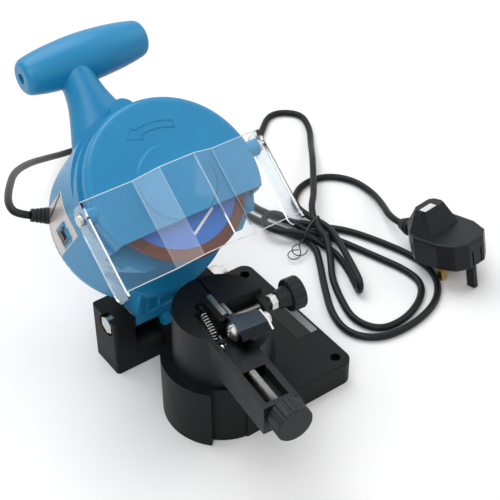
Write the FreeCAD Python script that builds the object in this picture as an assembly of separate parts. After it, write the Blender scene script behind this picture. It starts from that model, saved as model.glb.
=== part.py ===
import FreeCAD, Part
import math
import os

V = FreeCAD.Vector
X, Y, Z = V(1, 0, 0), V(0, 1, 0), V(0, 0, 1)
O = V(0, 0, 0)

# Electric chainsaw sharpener for a bench. All lengths are in millimetres.
# It is drawn about the drum's upright axis, with the bench at z = 0, the vice's arm towards -Y and
# the hinge pin along X. On saving, the origin moves to the middle of the two bench bolt holes.

# ---------------------------------------------------------------- fits and gaps
RUN = 0.05            # radial clearance of a pin or shaft that turns in a bore
GAP = 0.3             # air between faces of pieces that move past each other
SLIP = 0.2            # air under a piece that slides or swivels on a flat
EPS = 0.5             # how far a cutting tool reaches past the face that it cuts

# ---------------------------------------------------------------- base casting
DRUM_R = 39.0         # lower drum
DRUM_H = 52.0
DRUM_WALL = 5.0
DECK = 8.0            # thickness of the drum's top, which carries the vice
LEDGE_R = 44.8        # ledge with the degree marks
LEDGE_HALF = 45.0     # degrees each side of -X
PIVOT_HUB_R = 11.0
PIVOT_HUB_DROP = 12.0

PLATE_H = 21.0        # mounting plate
PLATE_SKIN = 4.5
PLATE_WALL = 4.0
PLATE_RIGHT = 93.7
PLATE_LEFT = -6.0
PLATE_FRONT = -39.8
PLATE_REAR = 99.0
PLATE_CORNER = 9.0
PLATE_RIB = 3.0
CELL_ROWS = 4
BENCH_HOLE_R = 4.0    # two holes for M8 coach bolts
BENCH_HOLE_PITCH = 117.0
BENCH_HOLE_X = 83.3
BENCH_HOLE_MID_Y = 28.85
BENCH_BOSS_R = 8.5

YOKE_LEFT = -49.6     # rear yoke, which carries the head's hinge
YOKE_RIGHT = 44.7
YOKE_FRONT = 68.9
YOKE_REAR = 101.8
YOKE_H = 50.7
YOKE_FLOOR = 15.5
YOKE_BACK_T = 6.8
YOKE_BACK_H = 34.0
YOKE_ROUND = 3.0
EAR_INNER = 31.6      # half the room between the ears

# ---------------------------------------------------------------- hinge
HINGE_Y = 81.3
HINGE_Z = 42.8
PIN_R = 4.0           # M8 hinge bolt
M8_HEAD_R = 7.5       # across corners / 2
M8_HEAD_T = 5.3
HEAD_RECESS_R = 9.0
HEAD_RECESS_DEEP = 5.6
WASHER_R = 8.0
WASHER_T = 1.6
NUT_T = 6.8
PIN_TAIL = 6.0        # thread left beyond the nut
BARREL_R = 10.5       # hinge barrel on the head's leg
BARREL_LEFT = -29.8
BARREL_RIGHT = 20.5
SPRING_WIRE_R = 0.95
SPRING_COIL_R = 7.4
SPRING_TURNS = 4
DEPTH_SCREW_R = 3.0   # screw that stops the head's downward swing
DEPTH_SCREW_X = -2.0
DEPTH_SCREW_Z = 26.5
DEPTH_KNOB_R = 10.0
DEPTH_KNOB_T = 9.0
PRONG_T = 7.0         # tail on the head that the screw stops
PRONG_BACK = 1.5      # its rear face, measured back from the pin with the head lowered
PRONG_DEEP = 7.0
PRONG_REACH = 18.5

# ---------------------------------------------------------------- head
REST_TILT = 52.0      # degrees the wheel leans back from upright at rest
CUT_TILT = 30.0       # the same, with the head lowered on the chain
HINGE_BACK = 111.0    # hinge seen from the wheel's centre: behind the wheel's plane
HINGE_DOWN = 56.7     # and below its centre, along the wheel's plane

WHEEL_R = 54.0        # 108 mm grinding wheel, 3.2 mm thick, 23 mm bore
WHEEL_T = 3.2
WHEEL_BORE_R = 11.5
LABEL_R = 45.5
LABEL_T = 0.3
SHAFT_R = 6.0
SHAFT_TAIL_R = 5.0
FLANGE_R = 17.0
FLANGE_T = 3.5
SPINDLE_NUT_R = 8.0
SPINDLE_NUT_T = 4.5

COVER_FACE = -12.0    # outside of the cover's face, measured back from the wheel's mid plane
COVER_R = 64.2
COVER_RIM_R = 66.6
COVER_RIM_FROM = 2.0
COVER_BACK = 14.0
COVER_SKIN = 2.4
COVER_ROUND = 5.0
COVER_CHORD = -25.5   # straight lower edge of the cover
COVER_BOSS_R = 29.0
COVER_BOSS_H = 1.6
LUG_R = 10.0          # half-round screw lug at the top
LUG_X = -4.0
LUG_V = 63.0
LUG_FROM = 3.0
LUG_BACK = 9.0        # and how far its other half runs back over the housing
LUG_SCREW_V = 68.5    # its headless screw, outside the rim
LUG_SCREW_IN = 2.5    # how far the screw stays behind the lug's front
BACKPLATE_T = 4.0
BACKPLATE_LOW = -36.0
SCREW_R = 2.0         # small screws of the cover, the visor and the shells
SCREW_HEAD_R = 3.6
SCREW_HEAD_T = 2.2

POT_R = 65.0          # motor housing
POT_RISE = 6.0        # its middle lies this far above the spindle
POT_END = 98.0
POT_ROUND = 13.0
POT_SKIN = 3.0
SEAM_X = 7.0          # plane in which the two shells meet
CLEAR_TURRET = 5.0    # air between the lowered head and the vice
LEG_FRONT_B = 70.0    # upper end of the leg's flat front
LEG_FRONT_V = -52.0
LEG_ROOT_B = 60.0     # where the leg starts inside the housing
LEG_ROOT_V = -30.0
FLUTE_FROM = 78.0     # hollows between the leg's ribs
FLUTE_TO = 98.0
FLUTE_DEEP = 2.0
SHELL_SCREW_TIP = -8.0    # screws that join the shells, along X
SHELL_SCREW_HEAD = 30.0
SHELL_HIGH_B = 50.0
SHELL_HIGH_V = 58.0
SHELL_LOW_B = 90.0
SHELL_LOW_V = -46.0
VENT_W = 2.6          # slots in the housing's rear corner, on both sides
VENT_LONG = 10.0
VENT_DEEP = 7.0
VENT_ANGLES = (13.6, 8.9, 4.2, -0.5, -5.2)
HOLE_R = 3.3          # round recess low on the left of the housing
HOLE_B = 29.2
HOLE_V = -30.0
HOLE_FLOOR = -46.0

STATOR_R = 25.0
STATOR_BORE_R = 14.6
CORE_R = 14.2
CORE_FROM = 40.0
CORE_TO = 62.0
WINDING_OVER = 3.5
FAN_R = 22.0
FAN_FROM = 30.5
FAN_T = 4.5
BEARING_R = 14.0      # 28 x 12 x 8 and 26 x 10 x 8 ball bearings
BEARING_T = 8.0
REAR_BEARING_R = 13.0
FRONT_BEARING_AT = 21.0
REAR_BEARING_AT = 79.0
COMMUTATOR_R = 9.0
COMMUTATOR_FROM = 66.5
COMMUTATOR_TO = 76.0
BRUSH_W = 5.0
BRUSH_LONG = 13.0
BRUSH_HOLDER_T = 1.0

BAR_V = 119.5         # T handle: its axis above the spindle
BAR_B = 32.0
BAR_HALF = 50.0
BAR_MID_R = 18.5
BAR_END_R = 13.5
BAR_HOLE_R = 3.2
BAR_HOLE_DEEP = 9.0
NECK_TOP_X = 14.5
NECK_TOP_B = 15.0
NECK_FOOT_X = 24.0
NECK_FOOT_B = 19.0
NECK_X = -12.0        # the neck stands a little left of the spindle

SWITCH_FACE = 65.6    # flat seat of the rocker switch on the pot's left side
SWITCH_B = 58.5
SWITCH_V = 9.0
SWITCH_W = 15.0       # bezel, along the housing
SWITCH_H = 10.5       # and across it
SWITCH_BEZEL = 1.0
SWITCH_DEEP = 11.0
SEAT_RIM = 2.5
RAMP_FROM = 42.0      # wedge moulded in front of the switch
RAMP_TO = 50.0
RAMP_HIGH = 1.7
RAMP_HALF = 3.6
RAMP_V = 7.1
ROCKER_TRAVEL = 14.0  # degrees

CORD_R = 3.0
GLAND_B = 86.0
GLAND_ANGLE = 24.0    # degrees above -X, seen along the spindle
GLAND_R0 = 6.4
GLAND_R1 = 4.8
GLAND_LONG = 13.0
GLAND_SUNK = 9.0

# ---------------------------------------------------------------- visor
VISOR_T = 2.0
VISOR_BOSS_LONG = 6.0     # bosses on the cover's sides that it turns on
VISOR_BOSS_END = COVER_R + VISOR_BOSS_LONG
VISOR_HALF = VISOR_BOSS_END + GAP + VISOR_T
VISOR_TOP = 11.0
VISOR_LOW = -55.4
VISOR_AT = -18.0      # outside of its flat parts, measured back from the wheel's mid plane
VISOR_BULGE = 9.0
FOLD_OUT = 32.0
FOLD_IN = 14.0
SIDE_DEEP = 22.0
SIDE_DROP = 4.5
SIDE_ROUND = 8.0
VISOR_PIVOT_B = -6.0
VISOR_PIVOT_V = 2.0
VISOR_PIN_R = 2.0
VISOR_BOSS_R = 6.0

# ---------------------------------------------------------------- vice
VICE_TURN = -5.3      # degrees that the vice is turned from square
SCALE_HALF = 35.0     # it swivels this far each side of square
TURRET_R0 = 35.8
TURRET_R1 = 34.8
TURRET_TOP = 96.0
ARM_LEFT = -24.3
ARM_RIGHT = 6.0
ARM_FRONT = -98.0
ARM_LOW = 72.0
ARM_WALL = 4.0
CHANNEL_RIGHT = 1.0
CHANNEL_FLOOR = 79.0
CHANNEL_REAR = -13.0
RIGHT_WALL_TOP = 88.0
SPRING_SLOT_LEFT = -20.3
SPRING_SLOT_RIGHT = -8.0
SPRING_SLOT_REAR = 3.0
SPRING_SLOT_FLOOR = 89.0
SLOT_LEFT = -0.7      # chain slot between the jaws
SLOT_RIGHT = 1.1
SLOT_FLOOR = 85.0
JAW_T = 3.8
JAW_TOP = 98.0
JAW_LOW = 84.0
JAW_FRONT = -10.0
JAW_REAR = 13.0
MOVING_JAW_T = 2.4
JAW_OPEN = 1.6        # travel away from the chain
POCKET_REAR = 2.6     # edge of the quadrant that is cut down for the clamp screw
POCKET_FLOOR = 78.5
CLAMP_Y = -3.5
CLAMP_Z = 84.5
CLAMP_R = 3.0
LUG_X0 = 29.0
LUG_X1 = 35.0
SWIVEL_MOST = 40.3    # furthest turn of the vice, to the right
HEAD_SWING = 22.0     # the head's whole swing, down
JAW_TRAVEL = 1.6
CLAMP_KNOB_X = 52.0
CLAMP_KNOB_R = 12.4
CLAMP_KNOB_T = 11.0
KNOB_ROOM = 0.7        # air between the clamp knob and the pot, with the head down and the vice swung round
KNOB_R = 13.5
KNOB_T = 14.0
ADJ_X = -9.0
ADJ_Z = 85.5
ADJ_R = 3.0
SLIDER_REAR = -22.0
SLIDER_FRONT = -58.0
SLIDER_TOP = 89.0
SLIDER_LUG_R = 4.6
SLIDE_TRAVEL = 24.0
STOP_LEFT = -5.0      # chain stop: stirrup over the slot
STOP_RIGHT = 19.0
STOP_SHEET = 1.6
STOP_TOP = 102.0
STOP_PIN_Y = -26.0
STOP_PIN_Z = 95.5
STOP_PIN_R = 3.0
STOP_HEAD_R = 6.4
STUD_X = -17.5        # upright stud that the vice's spring pulls on
STUD_Y = -32.0
STUD_R = 2.2
ANCHOR_X = -12.3      # and the spring's fixed anchor
ANCHOR_Y = 6.7
ANCHOR_R = 1.6
VICE_SPRING_R = 2.5
VICE_SPRING_WIRE = 0.45
VICE_SPRING_TURNS = 8
VICE_SPRING_Z = 92.6
LOCK_STUD_R = 5.0
LOCK_KNOB_R = 17.0
LOCK_KNOB_T = 12.0
LOCK_KNOB_LOW = 8.0

# ---------------------------------------------------------------- cord and plug
PLUG_AT = (239.0, 10.0, 17.66)   # middle of the plug's face, between its two flat pins
PLUG_TURN = 6.0
PLUG_TILT = 13.9      # it stands on its pins, so the longer earth pin lifts its end
PIN_PITCH = 11.1      # flat pins each side of the middle
EARTH_PIN = 22.2
PIN_LONG = 17.7
EARTH_LONG = 22.7
PLUG_BASE_H = 24.0
PLUG_H = 42.0
RELIEF_Y = 44.0
RELIEF_Z = 14.0
RELIEF_R = 8.0
HANK_TOP = 18.0
LEAD_GAP = 0.25       # the lead's first face stays clear of the gland's tip

# Routes of the cord, from its middle line's points, in the order from the housing to the plug.
LEAD_ROUTE = [(-80.0, 145.0, 123.0), (-81.0, 153.5, 124.0), (-75.5, 169.0, 120.0), (-61.9, 195.1, 110.0),
              (-40.4, 234.7, 90.0), (-9.0, 277.0, 61.0), (25.0, 315.0, 30.0), (54.0, 339.0, 9.0), (82.0, 345.0, 3.0),
              (118.0, 340.0, 3.0), (156.0, 328.0, 3.0), (190.0, 309.0, 3.0), (210.0, 286.0, 3.0), (207.0, 263.0, 3.0),
              (187.0, 241.0, 3.0), (164.0, 219.0, 3.0), (147.0, 197.0, 3.0), (143.0, 171.0, 3.0), (150.0, 148.0, 3.0),
              (159.0, 124.0, 3.0)]
OUTER_ROUTE = [(166.0, 108.0, 3.0), (155.0, 81.0, 3.0), (139.0, 52.0, 3.0), (122.0, 20.0, 3.0), (121.0, -6.0, 3.0),
               (141.0, -23.0, 3.0), (175.0, -24.0, 3.0), (206.0, -14.0, 3.0), (226.0, 10.0, 3.0), (226.0, 40.0, 3.0),
               (214.0, 74.0, 3.0), (203.0, 100.0, 3.0), (188.0, 124.0, 3.0)]
ARCH_ROUTE = [(163.0, 128.0, 3.0), (162.0, 149.0, 3.0), (155.0, 172.0, 3.0), (158.0, 197.0, 3.0), (180.0, 220.0, 3.0),
              (206.0, 242.0, 3.0), (231.0, 265.0, 3.0), (258.0, 288.0, 3.0), (283.0, 270.0, 3.0), (274.0, 243.0, 3.0),
              (256.0, 219.0, 5.0), (236.0, 191.0, 14.0), (214.0, 162.0, 14.0),
              (200.0, 144.0, 14.0), (186.0, 122.0, 14.0)]
INNER_ROUTE = [(168.0, 104.0, 3.0), (163.0, 86.0, 3.0), (152.0, 60.0, 3.0), (142.0, 36.0, 3.0), (133.0, 8.0, 3.0),
               (143.0, -14.0, 3.0), (168.0, -16.0, 3.0), (192.0, -7.0, 3.0), (208.0, 8.0, 3.0), (209.0, 28.0, 3.0),
               (200.0, 56.0, 3.0), (190.0, 83.0, 3.0), (180.0, 108.0, 3.0)]
TAIL_ROUTE = [(174.0, 126.0, 3.0), (182.0, 147.0, 3.0), (193.0, 164.0, 3.0), (213.0, 176.0, 3.0), (238.0, 173.0, 3.0),
              (254.0, 153.0, 3.0), (255.0, 127.0, 4.0), (245.0, 101.0, 10.0), (233.5, 79.0, 15.6)]
HANK_PLAN = [(150, 118), (154, 137), (176, 143), (199, 137), (200, 118), (192, 97), (181, 84), (157, 84), (149, 98)]
FOLD_PLAN = [(181, 92), (166, 37), (160, 39), (171, 92)]
TIE_AT = (173.0, 114.0)
TIE_ALONG = (0.4, -0.9165)
TIE_HALF = 14.0


# ================================================================ drawing aids
def block(x0, x1, y0, y1, z0, z1):
    return Part.makeBox(x1 - x0, y1 - y0, z1 - z0, V(x0, y0, z0))


def rod(r, start, end):
    line = end - start
    return Part.makeCylinder(r, line.Length, start, line)


def cone(r0, r1, start, end):
    line = end - start
    return Part.makeCone(r0, r1, line.Length, start, line)


def ring(r_out, r_in, start, end):
    return rod(r_out, start, end).cut(rod(r_in, start, end))


def prism(points, along):
    """Solid between a flat outline and the same outline moved along."""
    outline = Part.makePolygon(points + [points[0]])
    return Part.Face(outline).extrude(along)


def hexagon(r_corner, start, along):
    """Hexagonal prism about the line from start along X, Y or Z."""
    bar = Part.makePolygon([
        V(r_corner * math.cos(math.radians(60 * k)), r_corner * math.sin(math.radians(60 * k)), 0)
        for k in range(7)])
    solid = Part.Face(bar).extrude(V(0, 0, along.Length))
    solid.Placement = FreeCAD.Placement(start, FreeCAD.Rotation(Z, along))
    return solid


def turned(profile, centre=O):
    """Body of revolution about the spindle: profile lists (back, radius)."""
    points = [centre + V(0, back, radius) for back, radius in profile]
    outline = Part.makePolygon(points + [points[0]])
    return Part.Face(outline).revolve(centre, Y, 360)


def round_edges(shape, radius, wanted):
    """Fillet the edges for which wanted(edge) is true."""
    edges = [edge for edge in shape.Edges if wanted(edge)]
    return shape.makeFillet(radius, edges) if edges else shape


def upright(edge):
    a, b = edge.Vertexes[0].Point, edge.Vertexes[-1].Point
    return abs(a.x - b.x) < 1e-6 and abs(a.y - b.y) < 1e-6 and abs(a.z - b.z) > 1e-6


def knob(r, thickness, start, along, flutes=16, flute_r=1.6):
    """Fluted hand knob that grows from start along the given direction."""
    axis = V(along)
    axis.normalize()
    side = axis.cross(Z) if abs(axis.z) < 0.9 else axis.cross(X)
    side.normalize()
    body = rod(r, start, start + axis * thickness)
    body = body.makeFillet(1.2, [edge for edge in body.Edges if edge.Closed])
    for k in range(flutes):
        spot = FreeCAD.Rotation(axis, 360.0 * k / flutes).multVec(side * (r + 0.5 * flute_r))
        body = body.cut(rod(flute_r, start + spot - axis * EPS, start + spot + axis * (thickness + EPS)))
    return body


# ================================================================ places
HINGE = V(0, HINGE_Y, HINGE_Z)
ORIGIN = V(BENCH_HOLE_X, BENCH_HOLE_MID_Y, 0)
HINGE_IN_HEAD = V(0, HINGE_BACK, -HINGE_DOWN)


def on_head(shape, tilt=REST_TILT):
    """Place a shape drawn with the wheel upright at the origin, facing -Y, on the tilted head."""
    lean = FreeCAD.Rotation(X, -tilt)
    shape.Placement = FreeCAD.Placement(HINGE - lean.multVec(HINGE_IN_HEAD), lean).multiply(shape.Placement)
    return shape


def on_vice(shape):
    shape.rotate(O, Z, VICE_TURN)
    return shape


saved = []


def save(name, shape):
    """Write one named piece, moved to the bench-bolt origin."""
    shape = shape.removeSplitter() if shape.ShapeType in ("Solid", "Compound") else shape
    shape.translate(-1 * ORIGIN)
    shape.exportStep("parts/" + name + ".step")
    saved.append((name, shape))


os.makedirs("parts", exist_ok=True)


# ================================================================ base casting
def base_casting():
    drum = rod(DRUM_R, O, V(0, 0, DRUM_H))
    ledge = Part.makeCylinder(LEDGE_R, DRUM_H, O, Z, 2 * LEDGE_HALF)
    ledge.rotate(O, Z, 180 - LEDGE_HALF)

    plate = block(PLATE_LEFT, PLATE_RIGHT, PLATE_FRONT, PLATE_REAR, 0, PLATE_H)
    plate = round_edges(plate, PLATE_CORNER,
                        lambda e: upright(e) and e.Vertexes[0].X > PLATE_RIGHT - EPS)
    plate = round_edges(plate, 1.2, lambda e: all(v.Z > PLATE_H - 1e-3 for v in e.Vertexes)
                        and e.BoundBox.XMax > PLATE_RIGHT - PLATE_CORNER - EPS)

    cell_x = [(PLATE_LEFT + PLATE_WALL, DRUM_R + 1.5), (DRUM_R + 1.5 + PLATE_RIB, 0.5 * (DRUM_R + PLATE_RIGHT)),
              (0.5 * (DRUM_R + PLATE_RIGHT) + PLATE_RIB, PLATE_RIGHT - PLATE_WALL)]
    cell_y0 = PLATE_FRONT + PLATE_WALL
    cell_dy = (PLATE_REAR - PLATE_WALL - cell_y0 + PLATE_RIB) / CELL_ROWS
    for x0, x1 in cell_x:
        for row in range(CELL_ROWS):
            y0 = cell_y0 + row * cell_dy
            plate = plate.cut(block(x0, x1, y0, y0 + cell_dy - PLATE_RIB, -EPS, PLATE_H - PLATE_SKIN))

    yoke = block(YOKE_LEFT, YOKE_RIGHT, YOKE_FRONT, YOKE_REAR, 0, YOKE_H)
    yoke = round_edges(yoke, YOKE_ROUND, upright)
    yoke = yoke.cut(block(-EAR_INNER, EAR_INNER, YOKE_FRONT - EPS, YOKE_REAR - YOKE_BACK_T, YOKE_FLOOR, YOKE_H + EPS))
    yoke = yoke.cut(block(-EAR_INNER, EAR_INNER, YOKE_FRONT - EPS, YOKE_REAR + EPS, YOKE_BACK_H, YOKE_H + EPS))
    yoke = yoke.cut(block(YOKE_LEFT + PLATE_WALL, -EAR_INNER - PLATE_WALL, YOKE_FRONT + PLATE_WALL,
                          YOKE_REAR - PLATE_WALL, -EPS, HINGE_Z - WASHER_R - 2 * PLATE_WALL))
    yoke = yoke.cut(block(-EAR_INNER, PLATE_LEFT, YOKE_FRONT + PLATE_WALL, YOKE_REAR - YOKE_BACK_T - PLATE_WALL,
                          -EPS, YOKE_FLOOR - PLATE_WALL))

    casting = drum.fuse([ledge, plate.cut(drum), yoke])
    casting = casting.cut(rod(DRUM_R - DRUM_WALL, V(0, 0, -EPS), V(0, 0, DRUM_H - DECK)))
    casting = casting.fuse(rod(PIVOT_HUB_R, V(0, 0, DRUM_H - DECK - PIVOT_HUB_DROP), V(0, 0, DRUM_H - DECK / 2)))
    casting = casting.cut(rod(LOCK_STUD_R + RUN, V(0, 0, 0), V(0, 0, DRUM_H + EPS)))

    for hole_y in bench_hole_rows():
        spot = V(BENCH_HOLE_X, hole_y, 0)
        casting = casting.fuse(rod(BENCH_BOSS_R, spot, spot + V(0, 0, PLATE_H - PLATE_SKIN / 2)))
        casting = casting.cut(rod(BENCH_HOLE_R, spot - V(0, 0, EPS), spot + V(0, 0, PLATE_H + EPS)))

    pin_y = V(0, HINGE_Y, HINGE_Z)
    casting = casting.cut(rod(PIN_R + RUN, pin_y + X * (YOKE_LEFT - EPS), pin_y + X * (YOKE_RIGHT + EPS)))
    casting = casting.cut(rod(HEAD_RECESS_R, pin_y + X * (YOKE_LEFT - EPS), pin_y + X * (YOKE_LEFT + HEAD_RECESS_DEEP)))
    screw = V(DEPTH_SCREW_X, YOKE_REAR - YOKE_BACK_T, DEPTH_SCREW_Z)
    return casting.cut(rod(DEPTH_SCREW_R + RUN, screw - Y * EPS, screw + Y * (YOKE_BACK_T + EPS)))


def bench_hole_rows():
    return [BENCH_HOLE_MID_Y + side * BENCH_HOLE_PITCH / 2 for side in (-1, 1)]


save("base_casting", base_casting())


# ================================================================ hinge
def hinge_bolt():
    head_at = HINGE + X * (YOKE_LEFT + HEAD_RECESS_DEEP)
    tail = HINGE + X * (YOKE_RIGHT + WASHER_T + NUT_T + PIN_TAIL)
    return hexagon(M8_HEAD_R, head_at, X * -M8_HEAD_T).fuse(rod(PIN_R, head_at, tail))


def hinge_washers():
    outer = HINGE + X * YOKE_RIGHT
    inner = HINGE - X * EAR_INNER
    outer_ring = ring(WASHER_R, PIN_R, outer, outer + X * WASHER_T)
    inner_ring = ring(WASHER_R, PIN_R + RUN, inner, inner + X * (WASHER_T - 0.1))
    return Part.makeCompound([outer_ring, inner_ring])


def hinge_nut():
    start = HINGE + X * (YOKE_RIGHT + WASHER_T)
    return hexagon(M8_HEAD_R, start, X * NUT_T).cut(rod(PIN_R, start - X * EPS, start + X * (NUT_T + EPS)))


def head_spring():
    """Torsion spring round the pin, between the barrel and the right ear."""
    room = EAR_INNER - BARREL_RIGHT - 2 * GAP - 2 * SPRING_WIRE_R
    coil = Part.makeHelix(room / SPRING_TURNS, room, SPRING_COIL_R)
    start = V(SPRING_COIL_R, 0, 0)
    wire_end = Part.Wire(Part.makePolygon([
        start + V(SPRING_WIRE_R * math.cos(a), 0, SPRING_WIRE_R * math.sin(a))
        for a in [math.radians(45 * k) for k in range(9)]]))
    spring = Part.Wire(coil.Edges).makePipeShell([wire_end], True, True)
    spring.Placement = FreeCAD.Placement(
        HINGE + X * (BARREL_RIGHT + GAP + SPRING_WIRE_R), FreeCAD.Rotation(Z, X))
    return spring


save("hinge_bolt", hinge_bolt())
save("hinge_washers", hinge_washers())
save("hinge_nut", hinge_nut())
save("head_spring", head_spring())


def depth_screw():
    """Threaded stop for the head, with its hand knob behind the yoke."""
    tip_y = HINGE_Y + PRONG_BACK + GAP
    tip = V(DEPTH_SCREW_X, tip_y, DEPTH_SCREW_Z)
    knob_at = V(DEPTH_SCREW_X, YOKE_REAR + 5, DEPTH_SCREW_Z)
    return rod(DEPTH_SCREW_R, tip, knob_at + Y * (DEPTH_KNOB_T - 2)), knob(
        DEPTH_KNOB_R, DEPTH_KNOB_T, knob_at, Y, 12).cut(
        rod(DEPTH_SCREW_R, knob_at - Y * EPS, knob_at + Y * (DEPTH_KNOB_T - 2)))


screw, screw_knob = depth_screw()
save("depth_stop_screw", screw)
save("depth_stop_knob", screw_knob)


# ================================================================ wheel and spindle
def grinding_wheel():
    wheel = turned([(-WHEEL_T / 2, WHEEL_BORE_R), (WHEEL_T / 2, WHEEL_BORE_R), (WHEEL_T / 2, WHEEL_R - 1),
                    (0, WHEEL_R), (-WHEEL_T / 2, WHEEL_R - 1)])
    return wheel


def spindle():
    """Armature shaft with the shoulder that carries the wheel's flanges."""
    front = -(WHEEL_T / 2 + LABEL_T + FLANGE_T + SPINDLE_NUT_T + 0.3)
    shoulder = WHEEL_T / 2 + FLANGE_T
    return turned([(front, 0), (front, SHAFT_R - 1), (front + 1, SHAFT_R), (shoulder, SHAFT_R),
                   (shoulder, SHAFT_R + 2), (FRONT_BEARING_AT - SLIP, SHAFT_R + 2), (FRONT_BEARING_AT - SLIP, SHAFT_R),
                   (REAR_BEARING_AT - SLIP, SHAFT_R), (REAR_BEARING_AT - SLIP, SHAFT_TAIL_R),
                   (REAR_BEARING_AT + BEARING_T + 1, SHAFT_TAIL_R), (REAR_BEARING_AT + BEARING_T + 1, 0)])


def inner_flange():
    back = WHEEL_T / 2 + FLANGE_T
    return turned([(-WHEEL_T / 2 + 0.4, SHAFT_R), (-WHEEL_T / 2 + 0.4, WHEEL_BORE_R), (WHEEL_T / 2, WHEEL_BORE_R),
                   (WHEEL_T / 2, FLANGE_R), (back - 1, FLANGE_R), (back, FLANGE_R - 1), (back, SHAFT_R)])


def outer_flange():
    back = -WHEEL_T / 2 - LABEL_T
    return turned([(back, SHAFT_R), (back, FLANGE_R), (back - FLANGE_T + 1.5, FLANGE_R),
                   (back - FLANGE_T, FLANGE_R - 3), (back - FLANGE_T, SHAFT_R)])


def spindle_nut():
    start = Y * -(WHEEL_T / 2 + LABEL_T + FLANGE_T)
    return hexagon(SPINDLE_NUT_R, start, Y * -SPINDLE_NUT_T).cut(rod(SHAFT_R, start + Y * EPS, start - Y * (SPINDLE_NUT_T + EPS)))


def wheel_label():
    back = -WHEEL_T / 2
    return turned([(back, WHEEL_BORE_R), (back, LABEL_R), (back - LABEL_T, LABEL_R), (back - LABEL_T, WHEEL_BORE_R)])


def armature_core():
    """Laminated core with its skewless slots."""
    core = ring(CORE_R, SHAFT_R, Y * CORE_FROM, Y * CORE_TO)
    for k in range(12):
        a = math.radians(30 * k)
        slot = rod(1.6, V(0, CORE_FROM - EPS, 0) + V(math.cos(a), 0, math.sin(a)) * (CORE_R - 2.6),
                   V(0, CORE_TO + EPS, 0) + V(math.cos(a), 0, math.sin(a)) * (CORE_R - 2.6))
        core = core.cut(slot)
    return core


def armature_windings():
    ends = []
    for y0, y1 in ((CORE_FROM - WINDING_OVER, CORE_FROM), (CORE_TO, CORE_TO + WINDING_OVER)):
        ends.append(ring(CORE_R - 2, SHAFT_R, Y * y0, Y * y1))
    return Part.makeCompound(ends)


def commutator():
    return ring(COMMUTATOR_R, SHAFT_R, Y * COMMUTATOR_FROM, Y * COMMUTATOR_TO)


def fan():
    hub = ring(SHAFT_R + 5, SHAFT_R, Y * FAN_FROM, Y * (FAN_FROM + FAN_T))
    disc = ring(FAN_R, SHAFT_R, Y * (FAN_FROM + FAN_T - 1.2), Y * (FAN_FROM + FAN_T))
    blades = []
    for k in range(9):
        blade = block(SHAFT_R + 4, FAN_R - 0.5, FAN_FROM, FAN_FROM + FAN_T - 1, -0.6, 0.6)
        blade.rotate(O, Y, 40 * k)
        blades.append(blade)
    return hub.fuse([disc] + blades)


def bearing(r_out, r_in, start):
    """Ball bearing drawn as its two rings and the shielded race between them."""
    step = (r_out - r_in) / 4
    return turned([(start, r_in), (start, r_in + step), (start + 0.8, r_in + step), (start + 0.8, r_out - step),
                   (start, r_out - step), (start, r_out), (start + BEARING_T, r_out),
                   (start + BEARING_T, r_out - step), (start + BEARING_T - 0.8, r_out - step),
                   (start + BEARING_T - 0.8, r_in + step), (start + BEARING_T, r_in + step), (start + BEARING_T, r_in)])


def stator():
    """Field laminations: a ring with two pole shoes and room for the two coils."""
    body = ring(STATOR_R, STATOR_BORE_R, Y * CORE_FROM, Y * CORE_TO)
    for side in (-1, 1):
        body = body.cut(coil_room(side, 0.0))
    return body


def coil_room(side, trim):
    """Space beside one pole for its coil, set in by trim."""
    inner, outer = STATOR_BORE_R + 2.2 + trim, STATOR_R - 3.2 - trim
    reach = STATOR_R * math.sin(math.radians(50)) - trim
    x0, x1 = sorted((0, side * STATOR_R))
    return ring(outer, inner, Y * CORE_FROM, Y * CORE_TO).common(
        block(x0, x1, CORE_FROM, CORE_TO, -reach, reach))


def field_coils():
    coils = []
    for side in (-1, 1):
        coils.append(coil_room(side, 0.15))
    return Part.makeCompound(coils)


def brushes():
    pair = []
    mid = (COMMUTATOR_FROM + COMMUTATOR_TO) / 2
    for side in (-1, 1):
        x0, x1 = sorted((side * COMMUTATOR_R + side * RUN, side * (COMMUTATOR_R + BRUSH_LONG)))
        brush = block(x0, x1, mid - BRUSH_W / 2, mid + BRUSH_W / 2, -BRUSH_W / 2, BRUSH_W / 2)
        pair.append(brush.cut(rod(COMMUTATOR_R + RUN, Y * (mid - BRUSH_W), Y * (mid + BRUSH_W))))
    return Part.makeCompound(pair)


def brush_holders():
    pair = []
    mid = (COMMUTATOR_FROM + COMMUTATOR_TO) / 2
    inner, outer = BRUSH_W / 2, BRUSH_W / 2 + BRUSH_HOLDER_T
    for side in (-1, 1):
        x0, x1 = sorted((side * (COMMUTATOR_R + 3), side * (STATOR_R + 6)))
        sleeve = block(x0, x1, mid - outer, mid + outer, -outer, outer)
        pair.append(sleeve.cut(block(x0 - EPS, x1 + EPS, mid - inner, mid + inner, -inner, inner)))
    return Part.makeCompound(pair)


save("grinding_wheel", on_head(grinding_wheel()))
save("spindle", on_head(spindle()))
save("inner_flange", on_head(inner_flange()))
save("outer_flange", on_head(outer_flange()))
save("spindle_nut", on_head(spindle_nut()))
save("wheel_label", on_head(wheel_label()))
save("armature_core", on_head(armature_core()))
save("armature_windings", on_head(armature_windings()))
save("commutator", on_head(commutator()))
save("cooling_fan", on_head(fan()))
save("front_bearing", on_head(bearing(BEARING_R, SHAFT_R + RUN, FRONT_BEARING_AT)))
save("rear_bearing", on_head(bearing(REAR_BEARING_R, SHAFT_TAIL_R + RUN, REAR_BEARING_AT)))
save("stator", on_head(stator()))
save("field_coils", on_head(field_coils()))
save("carbon_brushes", on_head(brushes()))
save("brush_holders", on_head(brush_holders()))


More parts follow.
